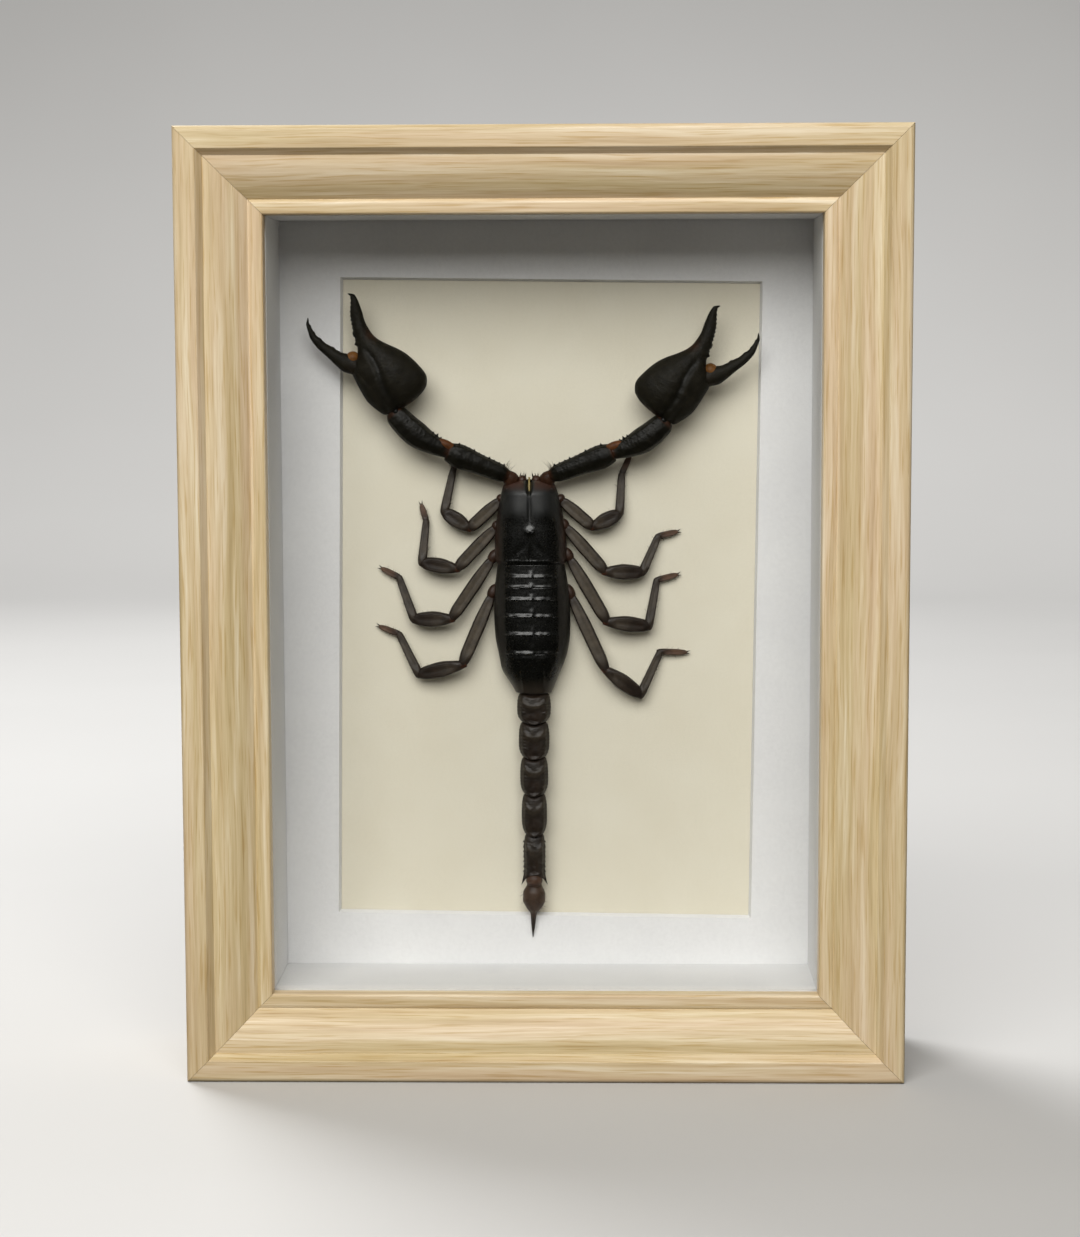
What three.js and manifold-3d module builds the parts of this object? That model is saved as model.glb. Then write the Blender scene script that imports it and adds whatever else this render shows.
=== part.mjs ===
// A large dried scorpion in a deep wooden box frame with a glass front.
// Millimetres, +Z up. The frame stands on its bottom rail and its front looks along -Y.
// Origin: the middle of the bottom face.

import * as THREE from 'three';
import { mergeVertices } from 'three/addons/utils/BufferGeometryUtils.js';
import Module from 'manifold-3d';

const wasm = await Module();
wasm.setup();

// Frame sizes
const WIDTH = 157;
const HEIGHT = 207;
const DEPTH = 44;
const RAIL = 18.5;
const RABBET = 5;
const MITRE_GAP = 0.1;
const FRONT_Y = -DEPTH / 2;
const OPENING_W = WIDTH - 2 * RAIL;
const OPENING_H = HEIGHT - 2 * RAIL;

// Moulding profile: distances in from the outer edge, and depths behind the front plane
const EDGE_ROUND = 1.2;
const BAND_WIDTH = 5;
const RISER_RUN = 1.2;
const RISER_DROP = 2.2;
const GROOVE_RUN = 0.4;
const OVOLO_END = 15.3;
const OVOLO_DROP = 2.7;
const OVOLO_STEPS = 6;
const LIP_DEPTH = 5.1;
const LIP_ROUND = 0.5;
const LIP_BACK = 9;

// Sheets behind the lip, front to back, as depths behind the front plane
const SHEET_GAP = 0.1;
const SIDE_GAP = 0.3;
const GLASS_T = 2;
const MAT_DEPTH = 35.5;
const MAT_T = 1.4;
const CARD_T = 1.5;
const BOARD_T = 3;
const GLASS_DEPTH = LIP_BACK + SHEET_GAP;
const SPACER_DEPTH = GLASS_DEPTH + GLASS_T + SHEET_GAP;
const SPACER_LENGTH = MAT_DEPTH - SHEET_GAP - SPACER_DEPTH;
const CARD_DEPTH = MAT_DEPTH + MAT_T + SHEET_GAP;
const BOARD_DEPTH = CARD_DEPTH + CARD_T + SHEET_GAP;
const BOARD_BACK_Y = FRONT_Y + BOARD_DEPTH + BOARD_T;
const SHEET_W = OPENING_W + 2 * (RABBET - SIDE_GAP);
const SHEET_H = OPENING_H + 2 * (RABBET - SIDE_GAP);
const SPACER_T = RABBET - SIDE_GAP;

// The mat sits a little askew in the box, so it is cut smaller than the other sheets
const MAT_W = 126;
const MAT_H = 176.5;
const WINDOW_W = 94;
const WINDOW_H = 144.5;
const WINDOW_FLARE = 0.5;
const MAT_CENTRE = { x: 0.3, z: 102.6 };
const MAT_TURN = THREE.MathUtils.degToRad(0.75);

// Steel points that hold the back board, and the hanger with its nails
const TAB = { width: 8, length: 13, bite: 4, thick: 0.7, slack: 0.15, spread: 50 };
const HANGER = { width: 46, height: 9, thick: 0.8, raise: 1, foot: 8, z: 178 };
const HANGER_TEETH = { count: 9, pitch: 2.6, depth: 1.3 };
const NAIL = { head: 1.7, crown: 0.5, crownRadius: 1.4, shank: 0.6, length: 3, slack: 0.15, sides: 10 };

// Specimen: x to the right, z up the frame, and a height out from the card
const GAP = 0.3;
const CARD_Y = FRONT_Y + CARD_DEPTH;
const BODY_SIDES = 16;
const ARM_SIDES = 12;
const LIMB_SIDES = 7;
const OUT = new THREE.Vector3(0, -1, 0);

// The body's middle line leans a little from the head to the tail
const BODY_AXIS = { headX: -3.8, headZ: 130, tailX: -2.9, tailZ: 82 };
const BODY_BASE = 0.1;
const BODY_SIDE = 2.6;
// Stations down the body: z, half width, height of the back
const CARAPACE = [
  [130.3, 2.4, 4.5], [129.6, 5.5, 5.4], [127, 6.5, 6.3], [122, 7.5, 7.2], [117, 8.1, 7.8],
  [112.6, 8.2, 7.6], [111.5, 7.6, 6.9],
];
const NOTCH = { halfWidth: 0.7, length: 3.4 };
const ABDOMEN = [
  [111, 7.7, 7.2], [106, 8.3, 8.1], [99, 8.65, 8.6], [95, 8.5, 8.5], [91, 7.8, 8.1], [87, 6.3, 7.4],
  [82.3, 4.1, 6.4],
];
const TERGITE_ENDS = [110.9, 108.4, 106.2, 103.3, 99.5, 95.4, 91.1, 82.3];
// Shares of a plate's length that get a ring, for the stepped plates and for the smooth last one
const TERGITE_STOPS = [0.04, 0.5, 0.96];
const LAST_TERGITE_STOPS = [0.02, 0.25, 0.5, 0.75, 1];
const TERGITE_STEP = 0.5;
const CHELICERA = { offset: 1.6, front: 131.5, back: 127, halfWidth: 1.2, height: 3, halfHeight: 1.2 };
// Share of the length and share of the half width
const CHELICERA_PROFILE = [[0, 0.6], [0.15, 0.95], [0.5, 1], [0.8, 0.85], [1, 0.4]];

// Tail segments: front and rear, half width, middle height and half height
const TAIL_X = -2.85;
const TAIL_SEGMENTS = [
  { front: 81.9, rear: 75.5, halfWidth: 3.75, mid: 3.9, halfHeight: 3.1 },
  { front: 75.2, rear: 67.4, halfWidth: 3.4, mid: 3.8, halfHeight: 3.0 },
  { front: 67.1, rear: 58.9, halfWidth: 3.1, mid: 3.7, halfHeight: 2.9 },
  { front: 58.6, rear: 49.6, halfWidth: 2.8, mid: 3.6, halfHeight: 2.7 },
  { front: 49.3, rear: 38.9, halfWidth: 2.4, mid: 3.5, halfHeight: 2.4 },
];
// Share of the length and share of the half width: a barrel, and the last segment with its flared rim
const TAIL_BARREL = [[0, 0.74], [0.06, 0.86], [0.3, 1], [0.68, 1], [0.9, 0.82], [1, 0.7]];
const TAIL_FLARED = [[0, 0.8], [0.06, 0.92], [0.3, 1], [0.75, 0.97], [0.92, 1.02], [1, 1.16]];
// How deep the furrow along the back is, as a share of the height, and how narrow
const TAIL_FURROW = 0.25;
const FURROW_SHARPNESS = 6;
const STINGER_LEAN = -0.45;
// Stations down the stinger: z, half width, half height, middle height
const STINGER = [
  [38.6, 1.5, 1.5, 3.4], [37.4, 1.7, 1.6, 3.4], [35.6, 2.5, 2.2, 3.3], [33.8, 2.55, 2.3, 3.2],
  [32, 1.7, 1.7, 3.2], [30.7, 0.75, 0.8, 3.1], [28, 0.5, 0.5, 2.7], [24.9, 0.12, 0.12, 1.9],
];

// Arms: x, z and height of each joint, and how far the hand leans from upright
const ARMS = [
  {
    name: 'left',
    side: -1,
    lean: 22.5,
    shoulder: [-8.8, 131.3, 4.2],
    elbow: [-22.2, 136.9, 6],
    wrist: [-34, 145.6, 6.4],
  },
  {
    name: 'right',
    side: 1,
    lean: 27,
    shoulder: [1.2, 131.3, 4.2],
    elbow: [15.2, 136.6, 6],
    wrist: [26.8, 143.5, 6.4],
  },
];
// Share of the length, half width, half height
const ARM_FEMUR = [[0.02, 1.2, 1.2], [0.14, 2.1, 2], [0.45, 2.3, 2.2], [0.8, 2.8, 2.3], [0.97, 2, 1.8]];
const ARM_PATELLA = [
  [0.02, 1.6, 1.5], [0.25, 2.3, 2.2], [0.55, 2.95, 2.6], [0.82, 2.6, 2.4], [0.98, 1.9, 1.8],
];
const PATELLA_BOW = 1;
// Hand: distance from the wrist, outer half width, inner half width, half height
const HAND = [
  [0.3, 2.2, 3.4, 1.6], [0.9, 2.7, 6.6, 2.3], [2, 3.4, 8.9, 3.2], [5, 4.7, 9.9, 4.2], [8, 5.1, 9.1, 4.4],
  [11, 5.3, 7.7, 4], [13, 4.3, 6.2, 3.3], [15, 2.6, 4.3, 2.7], [17, 1.8, 2.8, 2.2],
];
// Fingers in the hand's own frame: inward, along, half width, half height
const FIXED_FINGER = [
  [0.6, 14.5, 2.1, 2], [0.5, 17, 2.2, 2], [0.25, 18.6, 1.95, 1.8], [0.3, 21.1, 1.6, 1.6],
  [0.8, 23.9, 1.4, 1.3], [1.4, 26.1, 0.9, 0.9], [1.6, 27.9, 0.5, 0.5], [0.9, 28.4, 0.12, 0.12],
];
const MOVABLE_FINGER = [
  [-4.2, 13, 1.9, 1.6], [-5.4, 14.2, 2.1, 1.8], [-6.5, 15.5, 1.7, 1.6], [-8.1, 17.9, 1.15, 1.3],
  [-9.45, 20.6, 1, 1.1], [-10.2, 23.1, 0.68, 0.8], [-10.2, 25.3, 0.42, 0.5], [-9.6, 26.9, 0.12, 0.12],
];

// Legs: x, z and height of hip, knee, shin, ankle and toe, first to fourth pair
const LEGS = {
  left: [
    [[-9.6, 126.4, 2.6], [-17.4, 119.3, 3.2], [-23.1, 123, 2.4], [-21.2, 132.1, 1.1], [-19.9, 136.1, 0.9]],
    [[-10.4, 120.6, 2.6], [-20.3, 110.2, 3.8], [-28.2, 111.5, 2.8], [-27.3, 120.9, 1.2], [-28.4, 124.6, 0.9]],
    [[-11.2, 114, 2.6], [-21.6, 98.8, 4], [-30.1, 98.6, 2.8], [-33.6, 108.1, 1.2], [-37.6, 110.1, 0.9]],
    [[-11.6, 106, 1.8], [-19.2, 88.3, 4], [-29.1, 86, 2.8], [-33.7, 95.1, 1.2], [-38.2, 96.8, 0.9]],
  ],
  right: [
    [[2.6, 126.4, 2.6], [10.5, 119.6, 3.2], [16.6, 122.6, 2.4], [17.1, 131.5, 1.1], [19, 135.7, 0.9]],
    [[3.2, 121, 2.6], [13.4, 109.5, 3.8], [21.8, 109.3, 2.8], [25.4, 117.4, 1.2], [29.8, 118.4, 0.9]],
    [[4.2, 114.4, 2.6], [13.8, 98.1, 4], [23.2, 97, 2.8], [25.1, 107.4, 1.2], [29.8, 108.6, 0.9]],
    [[4.6, 106, 1.8], [13.5, 87.1, 4], [21.4, 81.3, 2.8], [25.9, 91, 1.2], [31.9, 90.8, 0.9]],
  ],
};
// Share of the length and half width of femur, patella, shin and foot
const LEG_SEGMENTS = [
  [[-0.02, 0.7], [0.14, 1.2], [0.5, 1.5], [0.85, 1.45], [1.05, 0.9]],
  [[-0.1, 0.8], [0.12, 1.35], [0.5, 1.8], [0.82, 1.6], [1.1, 0.85]],
  [[-0.08, 0.7], [0.1, 1.05], [0.5, 0.95], [0.85, 0.85], [1.06, 0.6]],
  [[-0.12, 0.5], [0.15, 0.72], [0.6, 0.7], [0.9, 0.55], [1.04, 0.25]],
];
const LEG_FLATNESS = 0.85;

const MATERIALS = {
  wood: { color: 0xd5be96, roughness: 0.5, metalness: 0 },
  glass: { color: 0xf4f8f6, roughness: 0.03, metalness: 0, transparent: true, opacity: 0.15 },
  white_board: { color: 0xe9e7e1, roughness: 0.85, metalness: 0 },
  cream_card: { color: 0xe2dbc6, roughness: 0.9, metalness: 0 },
  hardboard: { color: 0x8a6642, roughness: 0.8, metalness: 0 },
  steel: { color: 0xb7b8b6, roughness: 0.4, metalness: 1 },
  black_shell: { color: 0x15120e, roughness: 0.3, metalness: 0 },
  brown_shell: { color: 0x33271e, roughness: 0.45, metalness: 0 },
};

const part = new THREE.Group();

function addMesh(name, material, geometry) {
  const mesh = new THREE.Mesh(geometry, new THREE.MeshStandardMaterial(MATERIALS[material]));
  mesh.name = name;
  part.add(mesh);
  return mesh;
}

// Solids for joining and cutting

function weld(geometry) {
  geometry.deleteAttribute('normal');
  geometry.deleteAttribute('uv');
  return mergeVertices(geometry, 1e-4);
}

function toSolid(geometry) {
  const welded = weld(geometry.clone());
  return new wasm.Manifold(new wasm.Mesh({
    numProp: 3,
    vertProperties: new Float32Array(welded.attributes.position.array),
    triVerts: new Uint32Array(welded.index.array),
  }));
}

function toGeometry(solid) {
  const mesh = solid.getMesh();
  const geometry = new THREE.BufferGeometry();
  geometry.setAttribute('position', new THREE.BufferAttribute(mesh.vertProperties, 3));
  geometry.setIndex(new THREE.BufferAttribute(mesh.triVerts, 1));
  return geometry;
}

// Joins some shapes, cuts others away and keeps the largest piece that is left
function carve(shapes, cutters) {
  let solid = shapes.map(toSolid).reduce((whole, piece) => whole.add(piece));
  for (const cutter of cutters) {
    solid = solid.subtract(toSolid(cutter));
  }
  const pieces = solid.decompose();
  return toGeometry(pieces.reduce((best, piece) => (piece.volume() > best.volume() ? piece : best)));
}

// Frame and box

function mouldingShape() {
  const ovoloStart = BAND_WIDTH + RISER_RUN + GROOVE_RUN;
  const lipRoundStart = RAIL - LIP_ROUND;
  const shape = new THREE.Shape();
  shape.moveTo(0, DEPTH);
  shape.lineTo(0, EDGE_ROUND);
  shape.absarc(EDGE_ROUND, EDGE_ROUND, EDGE_ROUND, Math.PI, 1.5 * Math.PI, false);
  shape.lineTo(BAND_WIDTH, 0);
  shape.lineTo(BAND_WIDTH + RISER_RUN, RISER_DROP);
  for (let i = 0; i <= OVOLO_STEPS; i += 1) {
    const share = i / OVOLO_STEPS;
    shape.lineTo(ovoloStart + share * (OVOLO_END - ovoloStart), RISER_DROP + OVOLO_DROP * share * share);
  }
  shape.lineTo(OVOLO_END, LIP_DEPTH);
  shape.lineTo(lipRoundStart, LIP_DEPTH);
  shape.absarc(lipRoundStart, LIP_DEPTH + LIP_ROUND, LIP_ROUND, 1.5 * Math.PI, 2 * Math.PI, false);
  shape.lineTo(RAIL, LIP_BACK);
  shape.lineTo(RAIL - RABBET, LIP_BACK);
  shape.lineTo(RAIL - RABBET, DEPTH);
  shape.closePath();
  return shape;
}

// A rail lies along X with its outer edge at Z = 0 and its ends mitred
function railGeometry(length) {
  const settings = { depth: 1, steps: 1, bevelEnabled: false, curveSegments: 3 };
  const geometry = new THREE.ExtrudeGeometry(mouldingShape(), settings);
  const position = geometry.attributes.position;
  for (let i = 0; i < position.count; i += 1) {
    const across = position.getX(i);
    const behind = position.getY(i);
    const end = position.getZ(i) < 0.5 ? 1 : -1;
    position.setXYZ(i, end * (length / 2 - across - MITRE_GAP), FRONT_Y + behind, across);
  }
  return geometry;
}

// A flat steel point driven into the rabbet's wall, over the back board
function tabGeometry(along, slack) {
  const [width, thick, length] = [TAB.width, TAB.thick, TAB.length].map((size) => size + 2 * slack);
  const geometry = new THREE.BoxGeometry(width, thick, length);
  const middleY = BOARD_BACK_Y + SHEET_GAP + TAB.slack + TAB.thick / 2;
  return geometry.translate(along, middleY, RAIL - RABBET - TAB.bite + TAB.length / 2);
}

const RAILS = [
  { name: 'bottom', length: WIDTH, reach: HEIGHT / 2, turn: 0, tabs: [0] },
  { name: 'right', length: HEIGHT, reach: WIDTH / 2, turn: -Math.PI / 2, tabs: [-TAB.spread, TAB.spread] },
  { name: 'top', length: WIDTH, reach: HEIGHT / 2, turn: Math.PI, tabs: [0] },
  { name: 'left', length: HEIGHT, reach: WIDTH / 2, turn: Math.PI / 2, tabs: [-TAB.spread, TAB.spread] },
];

// Turns a shape that was made on the bottom rail to one of the four sides
function toSide(geometry, rail) {
  return geometry.translate(0, 0, -rail.reach).rotateY(rail.turn).translate(0, 0, HEIGHT / 2);
}

function addFrame() {
  for (const rail of RAILS) {
    const slots = rail.tabs.map((along) => tabGeometry(along, TAB.slack));
    addMesh(`frame_${rail.name}`, 'wood', toSide(carve([railGeometry(rail.length)], slots), rail));
    rail.tabs.forEach((along, i) => {
      addMesh(`tab_${rail.name}_${i + 1}`, 'steel', toSide(tabGeometry(along, 0), rail));
    });
  }
}

function sheetGeometry(depth, thickness) {
  const geometry = new THREE.BoxGeometry(SHEET_W, thickness, SHEET_H);
  return geometry.translate(0, FRONT_Y + depth + thickness / 2, HEIGHT / 2);
}

function addSpacers() {
  const middleY = FRONT_Y + SPACER_DEPTH + SPACER_LENGTH / 2;
  for (const side of [-1, 1]) {
    const flat = new THREE.BoxGeometry(SHEET_W, SPACER_LENGTH, SPACER_T);
    const flatMesh = addMesh(side < 0 ? 'spacer_bottom' : 'spacer_top', 'white_board', flat);
    flatMesh.position.set(0, middleY, HEIGHT / 2 + side * (OPENING_H + SPACER_T) / 2);
    const upright = new THREE.BoxGeometry(SPACER_T, SPACER_LENGTH, OPENING_H - 2 * SHEET_GAP);
    const uprightMesh = addMesh(side < 0 ? 'spacer_left' : 'spacer_right', 'white_board', upright);
    uprightMesh.position.set(side * (OPENING_W + SPACER_T) / 2, middleY, HEIGHT / 2);
  }
}

function rectangle(width, height) {
  const [x, y] = [width / 2, height / 2];
  return [[-x, -y], [x, -y], [x, y], [-x, y]].map((corner) => new THREE.Vector2(...corner));
}

// The mat's window is cut on a slant, a little wider at the front
function addMat() {
  const shape = new THREE.Shape(rectangle(MAT_W, MAT_H));
  shape.holes.push(new THREE.Path(rectangle(WINDOW_W, WINDOW_H)));
  const geometry = new THREE.ExtrudeGeometry(shape, { depth: MAT_T, steps: 1, bevelEnabled: false });
  const position = geometry.attributes.position;
  for (let i = 0; i < position.count; i += 1) {
    const [x, y] = [position.getX(i), position.getY(i)];
    const isWindowFront = Math.abs(x) < MAT_W / 2 - 1 && position.getZ(i) > MAT_T / 2;
    const flare = isWindowFront ? WINDOW_FLARE : 0;
    position.setX(i, x + Math.sign(x) * flare);
    position.setY(i, y + Math.sign(y) * flare);
  }
  const mesh = addMesh('mat_board', 'white_board', geometry.rotateX(Math.PI / 2));
  mesh.rotation.y = MAT_TURN;
  mesh.position.set(MAT_CENTRE.x, FRONT_Y + MAT_DEPTH + MAT_T, MAT_CENTRE.z);
}

// Nail with a flat head, its shank through the hanger's foot into the board
function nailGeometry(side, slack) {
  const headY = HANGER.thick + SHEET_GAP;
  const crownY = headY + NAIL.crown;
  const tipY = headY - NAIL.length - slack;
  const shank = NAIL.shank + slack;
  const profile = [
    [0, tipY], [shank, tipY], [shank, headY], [NAIL.head, headY], [NAIL.crownRadius, crownY], [0, crownY],
  ];
  const geometry = new THREE.LatheGeometry(profile.map((point) => new THREE.Vector2(...point)), NAIL.sides);
  const x = side * (HANGER.width - HANGER.foot) / 2;
  return geometry.translate(x, BOARD_BACK_Y + SHEET_GAP, HANGER.z + HANGER.height / 2);
}

// A bent strip that stands off the board between its two feet
function hangerStrip() {
  const half = HANGER.width / 2;
  const bend = half - HANGER.foot;
  const raised = HANGER.raise + HANGER.thick;
  const right = [
    [bend - HANGER.raise, HANGER.raise], [bend, 0], [half, 0], [half, HANGER.thick],
    [bend + HANGER.thick / 2, HANGER.thick], [bend - HANGER.raise + HANGER.thick / 2, raised],
  ];
  const left = right.map(([x, y]) => [-x, y]).reverse();
  const shape = new THREE.Shape([...right, ...left].map((point) => new THREE.Vector2(...point)));
  const geometry = new THREE.ExtrudeGeometry(shape, { depth: HANGER.height, steps: 1, bevelEnabled: false });
  return geometry.translate(0, BOARD_BACK_Y + SHEET_GAP, HANGER.z);
}

function addBack() {
  const nailHoles = [-1, 1].map((side) => nailGeometry(side, NAIL.slack));
  addMesh('back_board', 'hardboard', carve([sheetGeometry(BOARD_DEPTH, BOARD_T)], nailHoles));
  const notches = [];
  for (let i = 0; i < HANGER_TEETH.count; i += 1) {
    const across = (i - (HANGER_TEETH.count - 1) / 2) * HANGER_TEETH.pitch;
    const notch = new THREE.CylinderGeometry(HANGER_TEETH.depth, HANGER_TEETH.depth, DEPTH, 4);
    notches.push(notch.translate(across, BOARD_BACK_Y, HANGER.z));
  }
  addMesh('hanger', 'steel', carve([hangerStrip()], [...notches, ...nailHoles]));
  addMesh('hanger_nail_left', 'steel', nailGeometry(-1, 0));
  addMesh('hanger_nail_right', 'steel', nailGeometry(1, 0));
}

// Specimen forms

function signedVolume(geometry) {
  const { index } = geometry;
  const corner = (i) => new THREE.Vector3().fromBufferAttribute(geometry.attributes.position, index.getX(i));
  let total = 0;
  for (let i = 0; i < index.count; i += 3) {
    total += corner(i).dot(corner(i + 1).cross(corner(i + 2)));
  }
  return total;
}

function turnInsideOut(geometry) {
  const { index } = geometry;
  for (let i = 0; i < index.count; i += 3) {
    const second = index.getX(i + 1);
    index.setX(i + 1, index.getX(i + 2));
    index.setX(i + 2, second);
  }
}

// Closed skin through rings, made from a sphere's grid with its poles on the end rings.
// A ring has a centre, two axes and a reach each way along them.
function skin(rings, sides, grow = 0, furrow = 0) {
  const geometry = new THREE.SphereGeometry(1, sides, rings.length + 1);
  const position = geometry.attributes.position;
  const lastRow = rings.length + 1;
  const point = new THREE.Vector3();
  for (let row = 0; row <= lastRow; row += 1) {
    const ring = rings[THREE.MathUtils.clamp(row - 1, 0, rings.length - 1)];
    const isPole = row === 0 || row === lastRow;
    const size = isPole ? 0 : 1;
    for (let column = 0; column <= sides; column += 1) {
      const angle = (2 * Math.PI * (column % sides)) / sides;
      const across = Math.cos(angle);
      const up = Math.sin(angle);
      const dent = 1 - furrow * Math.max(0, up) ** FURROW_SHARPNESS;
      point.copy(ring.centre);
      point.addScaledVector(ring.across, size * across * ((across > 0 ? ring.right : ring.left) + grow));
      point.addScaledVector(ring.up, size * dent * up * ((up > 0 ? ring.top : ring.bottom) + grow));
      position.setXYZ(row * (sides + 1) + column, point.x, point.y, point.z);
    }
  }
  const welded = weld(geometry);
  if (signedVolume(welded) < 0) {
    turnInsideOut(welded);
  }
  return welded;
}

function place([x, z, height]) {
  return new THREE.Vector3(x, CARD_Y - height, z);
}

function bodyX(z) {
  return THREE.MathUtils.mapLinear(z, BODY_AXIS.headZ, BODY_AXIS.tailZ, BODY_AXIS.headX, BODY_AXIS.tailX);
}

// Ring across the body's axis
function bodyRing(x, z, halfWidth, mid, top, bottom) {
  const across = new THREE.Vector3(1, 0, 0);
  return { centre: place([x, z, mid]), across, up: OUT, left: halfWidth, right: halfWidth, top, bottom };
}

// Ring of the trunk, which lies on the card: from the flat belly to the height of the back
function trunkRing(z, halfWidth, back) {
  return bodyRing(bodyX(z), z, halfWidth, BODY_SIDE, back - BODY_SIDE, BODY_SIDE - BODY_BASE);
}

// Ring square to a limb
function limbRing(centre, direction, left, right, halfHeight) {
  const along = direction.clone().normalize();
  const across = new THREE.Vector3().crossVectors(along, OUT).normalize();
  const up = new THREE.Vector3().crossVectors(across, along);
  return { centre, across, up, left, right, top: halfHeight, bottom: halfHeight };
}

// Rings through a list of points, each square to the line between its neighbours
function limbRings(points, widths, heights) {
  return points.map((point, i) => {
    const before = points[Math.max(i - 1, 0)];
    const after = points[Math.min(i + 1, points.length - 1)];
    return limbRing(point, after.clone().sub(before), widths[i], widths[i], heights[i]);
  });
}

// Specimen body

function stationAt(stations, z, column) {
  const next = Math.max(1, stations.findIndex((station) => station[0] <= z));
  const [from, to] = [stations[next - 1], stations[next]];
  return THREE.MathUtils.mapLinear(z, from[0], to[0], from[column], to[column]);
}

function carapaceSkin(grow) {
  return skin(CARAPACE.map(([z, halfWidth, back]) => trunkRing(z, halfWidth, back)), BODY_SIDES, grow);
}

// Each plate of the back starts low behind the one before it and rises to its own rear edge
function abdomenSkin(grow) {
  const rings = [];
  for (let i = 0; i < TERGITE_ENDS.length - 1; i += 1) {
    const isLast = i === TERGITE_ENDS.length - 2;
    for (const share of isLast ? LAST_TERGITE_STOPS : TERGITE_STOPS) {
      const z = THREE.MathUtils.lerp(TERGITE_ENDS[i], TERGITE_ENDS[i + 1], share);
      const lift = isLast ? 0 : TERGITE_STEP * (share - 0.5);
      rings.push(trunkRing(z, stationAt(ABDOMEN, z, 1) + lift / 2, stationAt(ABDOMEN, z, 2) + lift));
    }
  }
  return skin(rings, BODY_SIDES, grow);
}

function cheliceraSkin(side, grow) {
  const { front, back, height, offset } = CHELICERA;
  const rings = CHELICERA_PROFILE.map(([share, size]) => {
    const z = THREE.MathUtils.lerp(back - grow, front + grow, share);
    const halfWidth = CHELICERA.halfWidth * size;
    const halfHeight = CHELICERA.halfHeight * size;
    return bodyRing(bodyX(z) + side * offset, z, halfWidth, height, halfHeight, halfHeight);
  });
  return skin(rings, LIMB_SIDES, grow);
}

// Wedge that parts the front of the carapace
function notchGeometry() {
  const front = CARAPACE[0][0];
  const ahead = front + 1;
  const x = bodyX(front);
  const corners = [[x - NOTCH.halfWidth, ahead], [x + NOTCH.halfWidth, ahead], [x, front - NOTCH.length]];
  const shape = new THREE.Shape(corners.map((corner) => new THREE.Vector2(...corner)));
  const geometry = new THREE.ExtrudeGeometry(shape, { depth: DEPTH, steps: 1, bevelEnabled: false });
  return geometry.rotateX(Math.PI / 2).translate(0, CARD_Y + DEPTH / 2, 0);
}

function addTrunk() {
  const sockets = [-1, 1].map((side) => cheliceraSkin(side, GAP));
  addMesh('carapace', 'black_shell', carve([carapaceSkin(0)], [...sockets, notchGeometry()]));
  addMesh('abdomen', 'black_shell', abdomenSkin(0));
  addMesh('chelicera_left', 'brown_shell', cheliceraSkin(-1, 0));
  addMesh('chelicera_right', 'brown_shell', cheliceraSkin(1, 0));
}

function addTail() {
  TAIL_SEGMENTS.forEach((segment, i) => {
    const isLast = i === TAIL_SEGMENTS.length - 1;
    const rings = (isLast ? TAIL_FLARED : TAIL_BARREL).map(([share, size]) => {
      const z = THREE.MathUtils.lerp(segment.front, segment.rear, share);
      const halfHeight = segment.halfHeight * Math.min(size, 1);
      return bodyRing(TAIL_X, z, segment.halfWidth * size, segment.mid, halfHeight, halfHeight);
    });
    addMesh(`tail_segment_${i + 1}`, 'brown_shell', skin(rings, BODY_SIDES, 0, TAIL_FURROW));
  });
  const tip = STINGER[STINGER.length - 1][0];
  const rings = STINGER.map(([z, halfWidth, halfHeight, mid]) => {
    const x = TAIL_X + THREE.MathUtils.mapLinear(z, STINGER[0][0], tip, 0, STINGER_LEAN);
    return bodyRing(x, z, halfWidth, mid, halfHeight, halfHeight);
  });
  addMesh('stinger', 'brown_shell', skin(rings, ARM_SIDES));
}

// Arms and claws

// A straight or bowed limb segment between two joints
function armSkin(from, to, stations, bow, grow) {
  const start = place(from);
  const line = place(to).sub(start);
  const side = new THREE.Vector3().crossVectors(line, OUT).normalize();
  const points = stations.map(([share]) => (
    start.clone().addScaledVector(line, share).addScaledVector(side, bow * Math.sin(Math.PI * share))));
  const rings = limbRings(points, stations.map((s) => s[1]), stations.map((s) => s[2]));
  return skin(rings, ARM_SIDES, grow);
}

// A point of the hand's own frame, inward and along from the wrist
function handPoint(arm, inward, along) {
  const lean = THREE.MathUtils.degToRad(arm.lean);
  const [x, z, height] = arm.wrist;
  const outX = arm.side * Math.sin(lean) * along - arm.side * Math.cos(lean) * inward;
  const upZ = Math.cos(lean) * along + Math.sin(lean) * inward;
  return place([x + outX, z + upZ, height]);
}

function handSkin(arm, grow) {
  const direction = handPoint(arm, 0, 1).sub(handPoint(arm, 0, 0));
  const rings = HAND.map(([along, outer, inner, halfHeight]) => {
    const [left, right] = arm.side < 0 ? [outer, inner] : [inner, outer];
    return limbRing(handPoint(arm, 0, along), direction, left, right, halfHeight);
  });
  return skin(rings, BODY_SIDES, grow);
}

function fingerSkin(arm, stations, grow) {
  const points = stations.map(([inward, along]) => handPoint(arm, inward, along));
  return skin(limbRings(points, stations.map((s) => s[2]), stations.map((s) => s[3])), LIMB_SIDES, grow);
}

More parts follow.
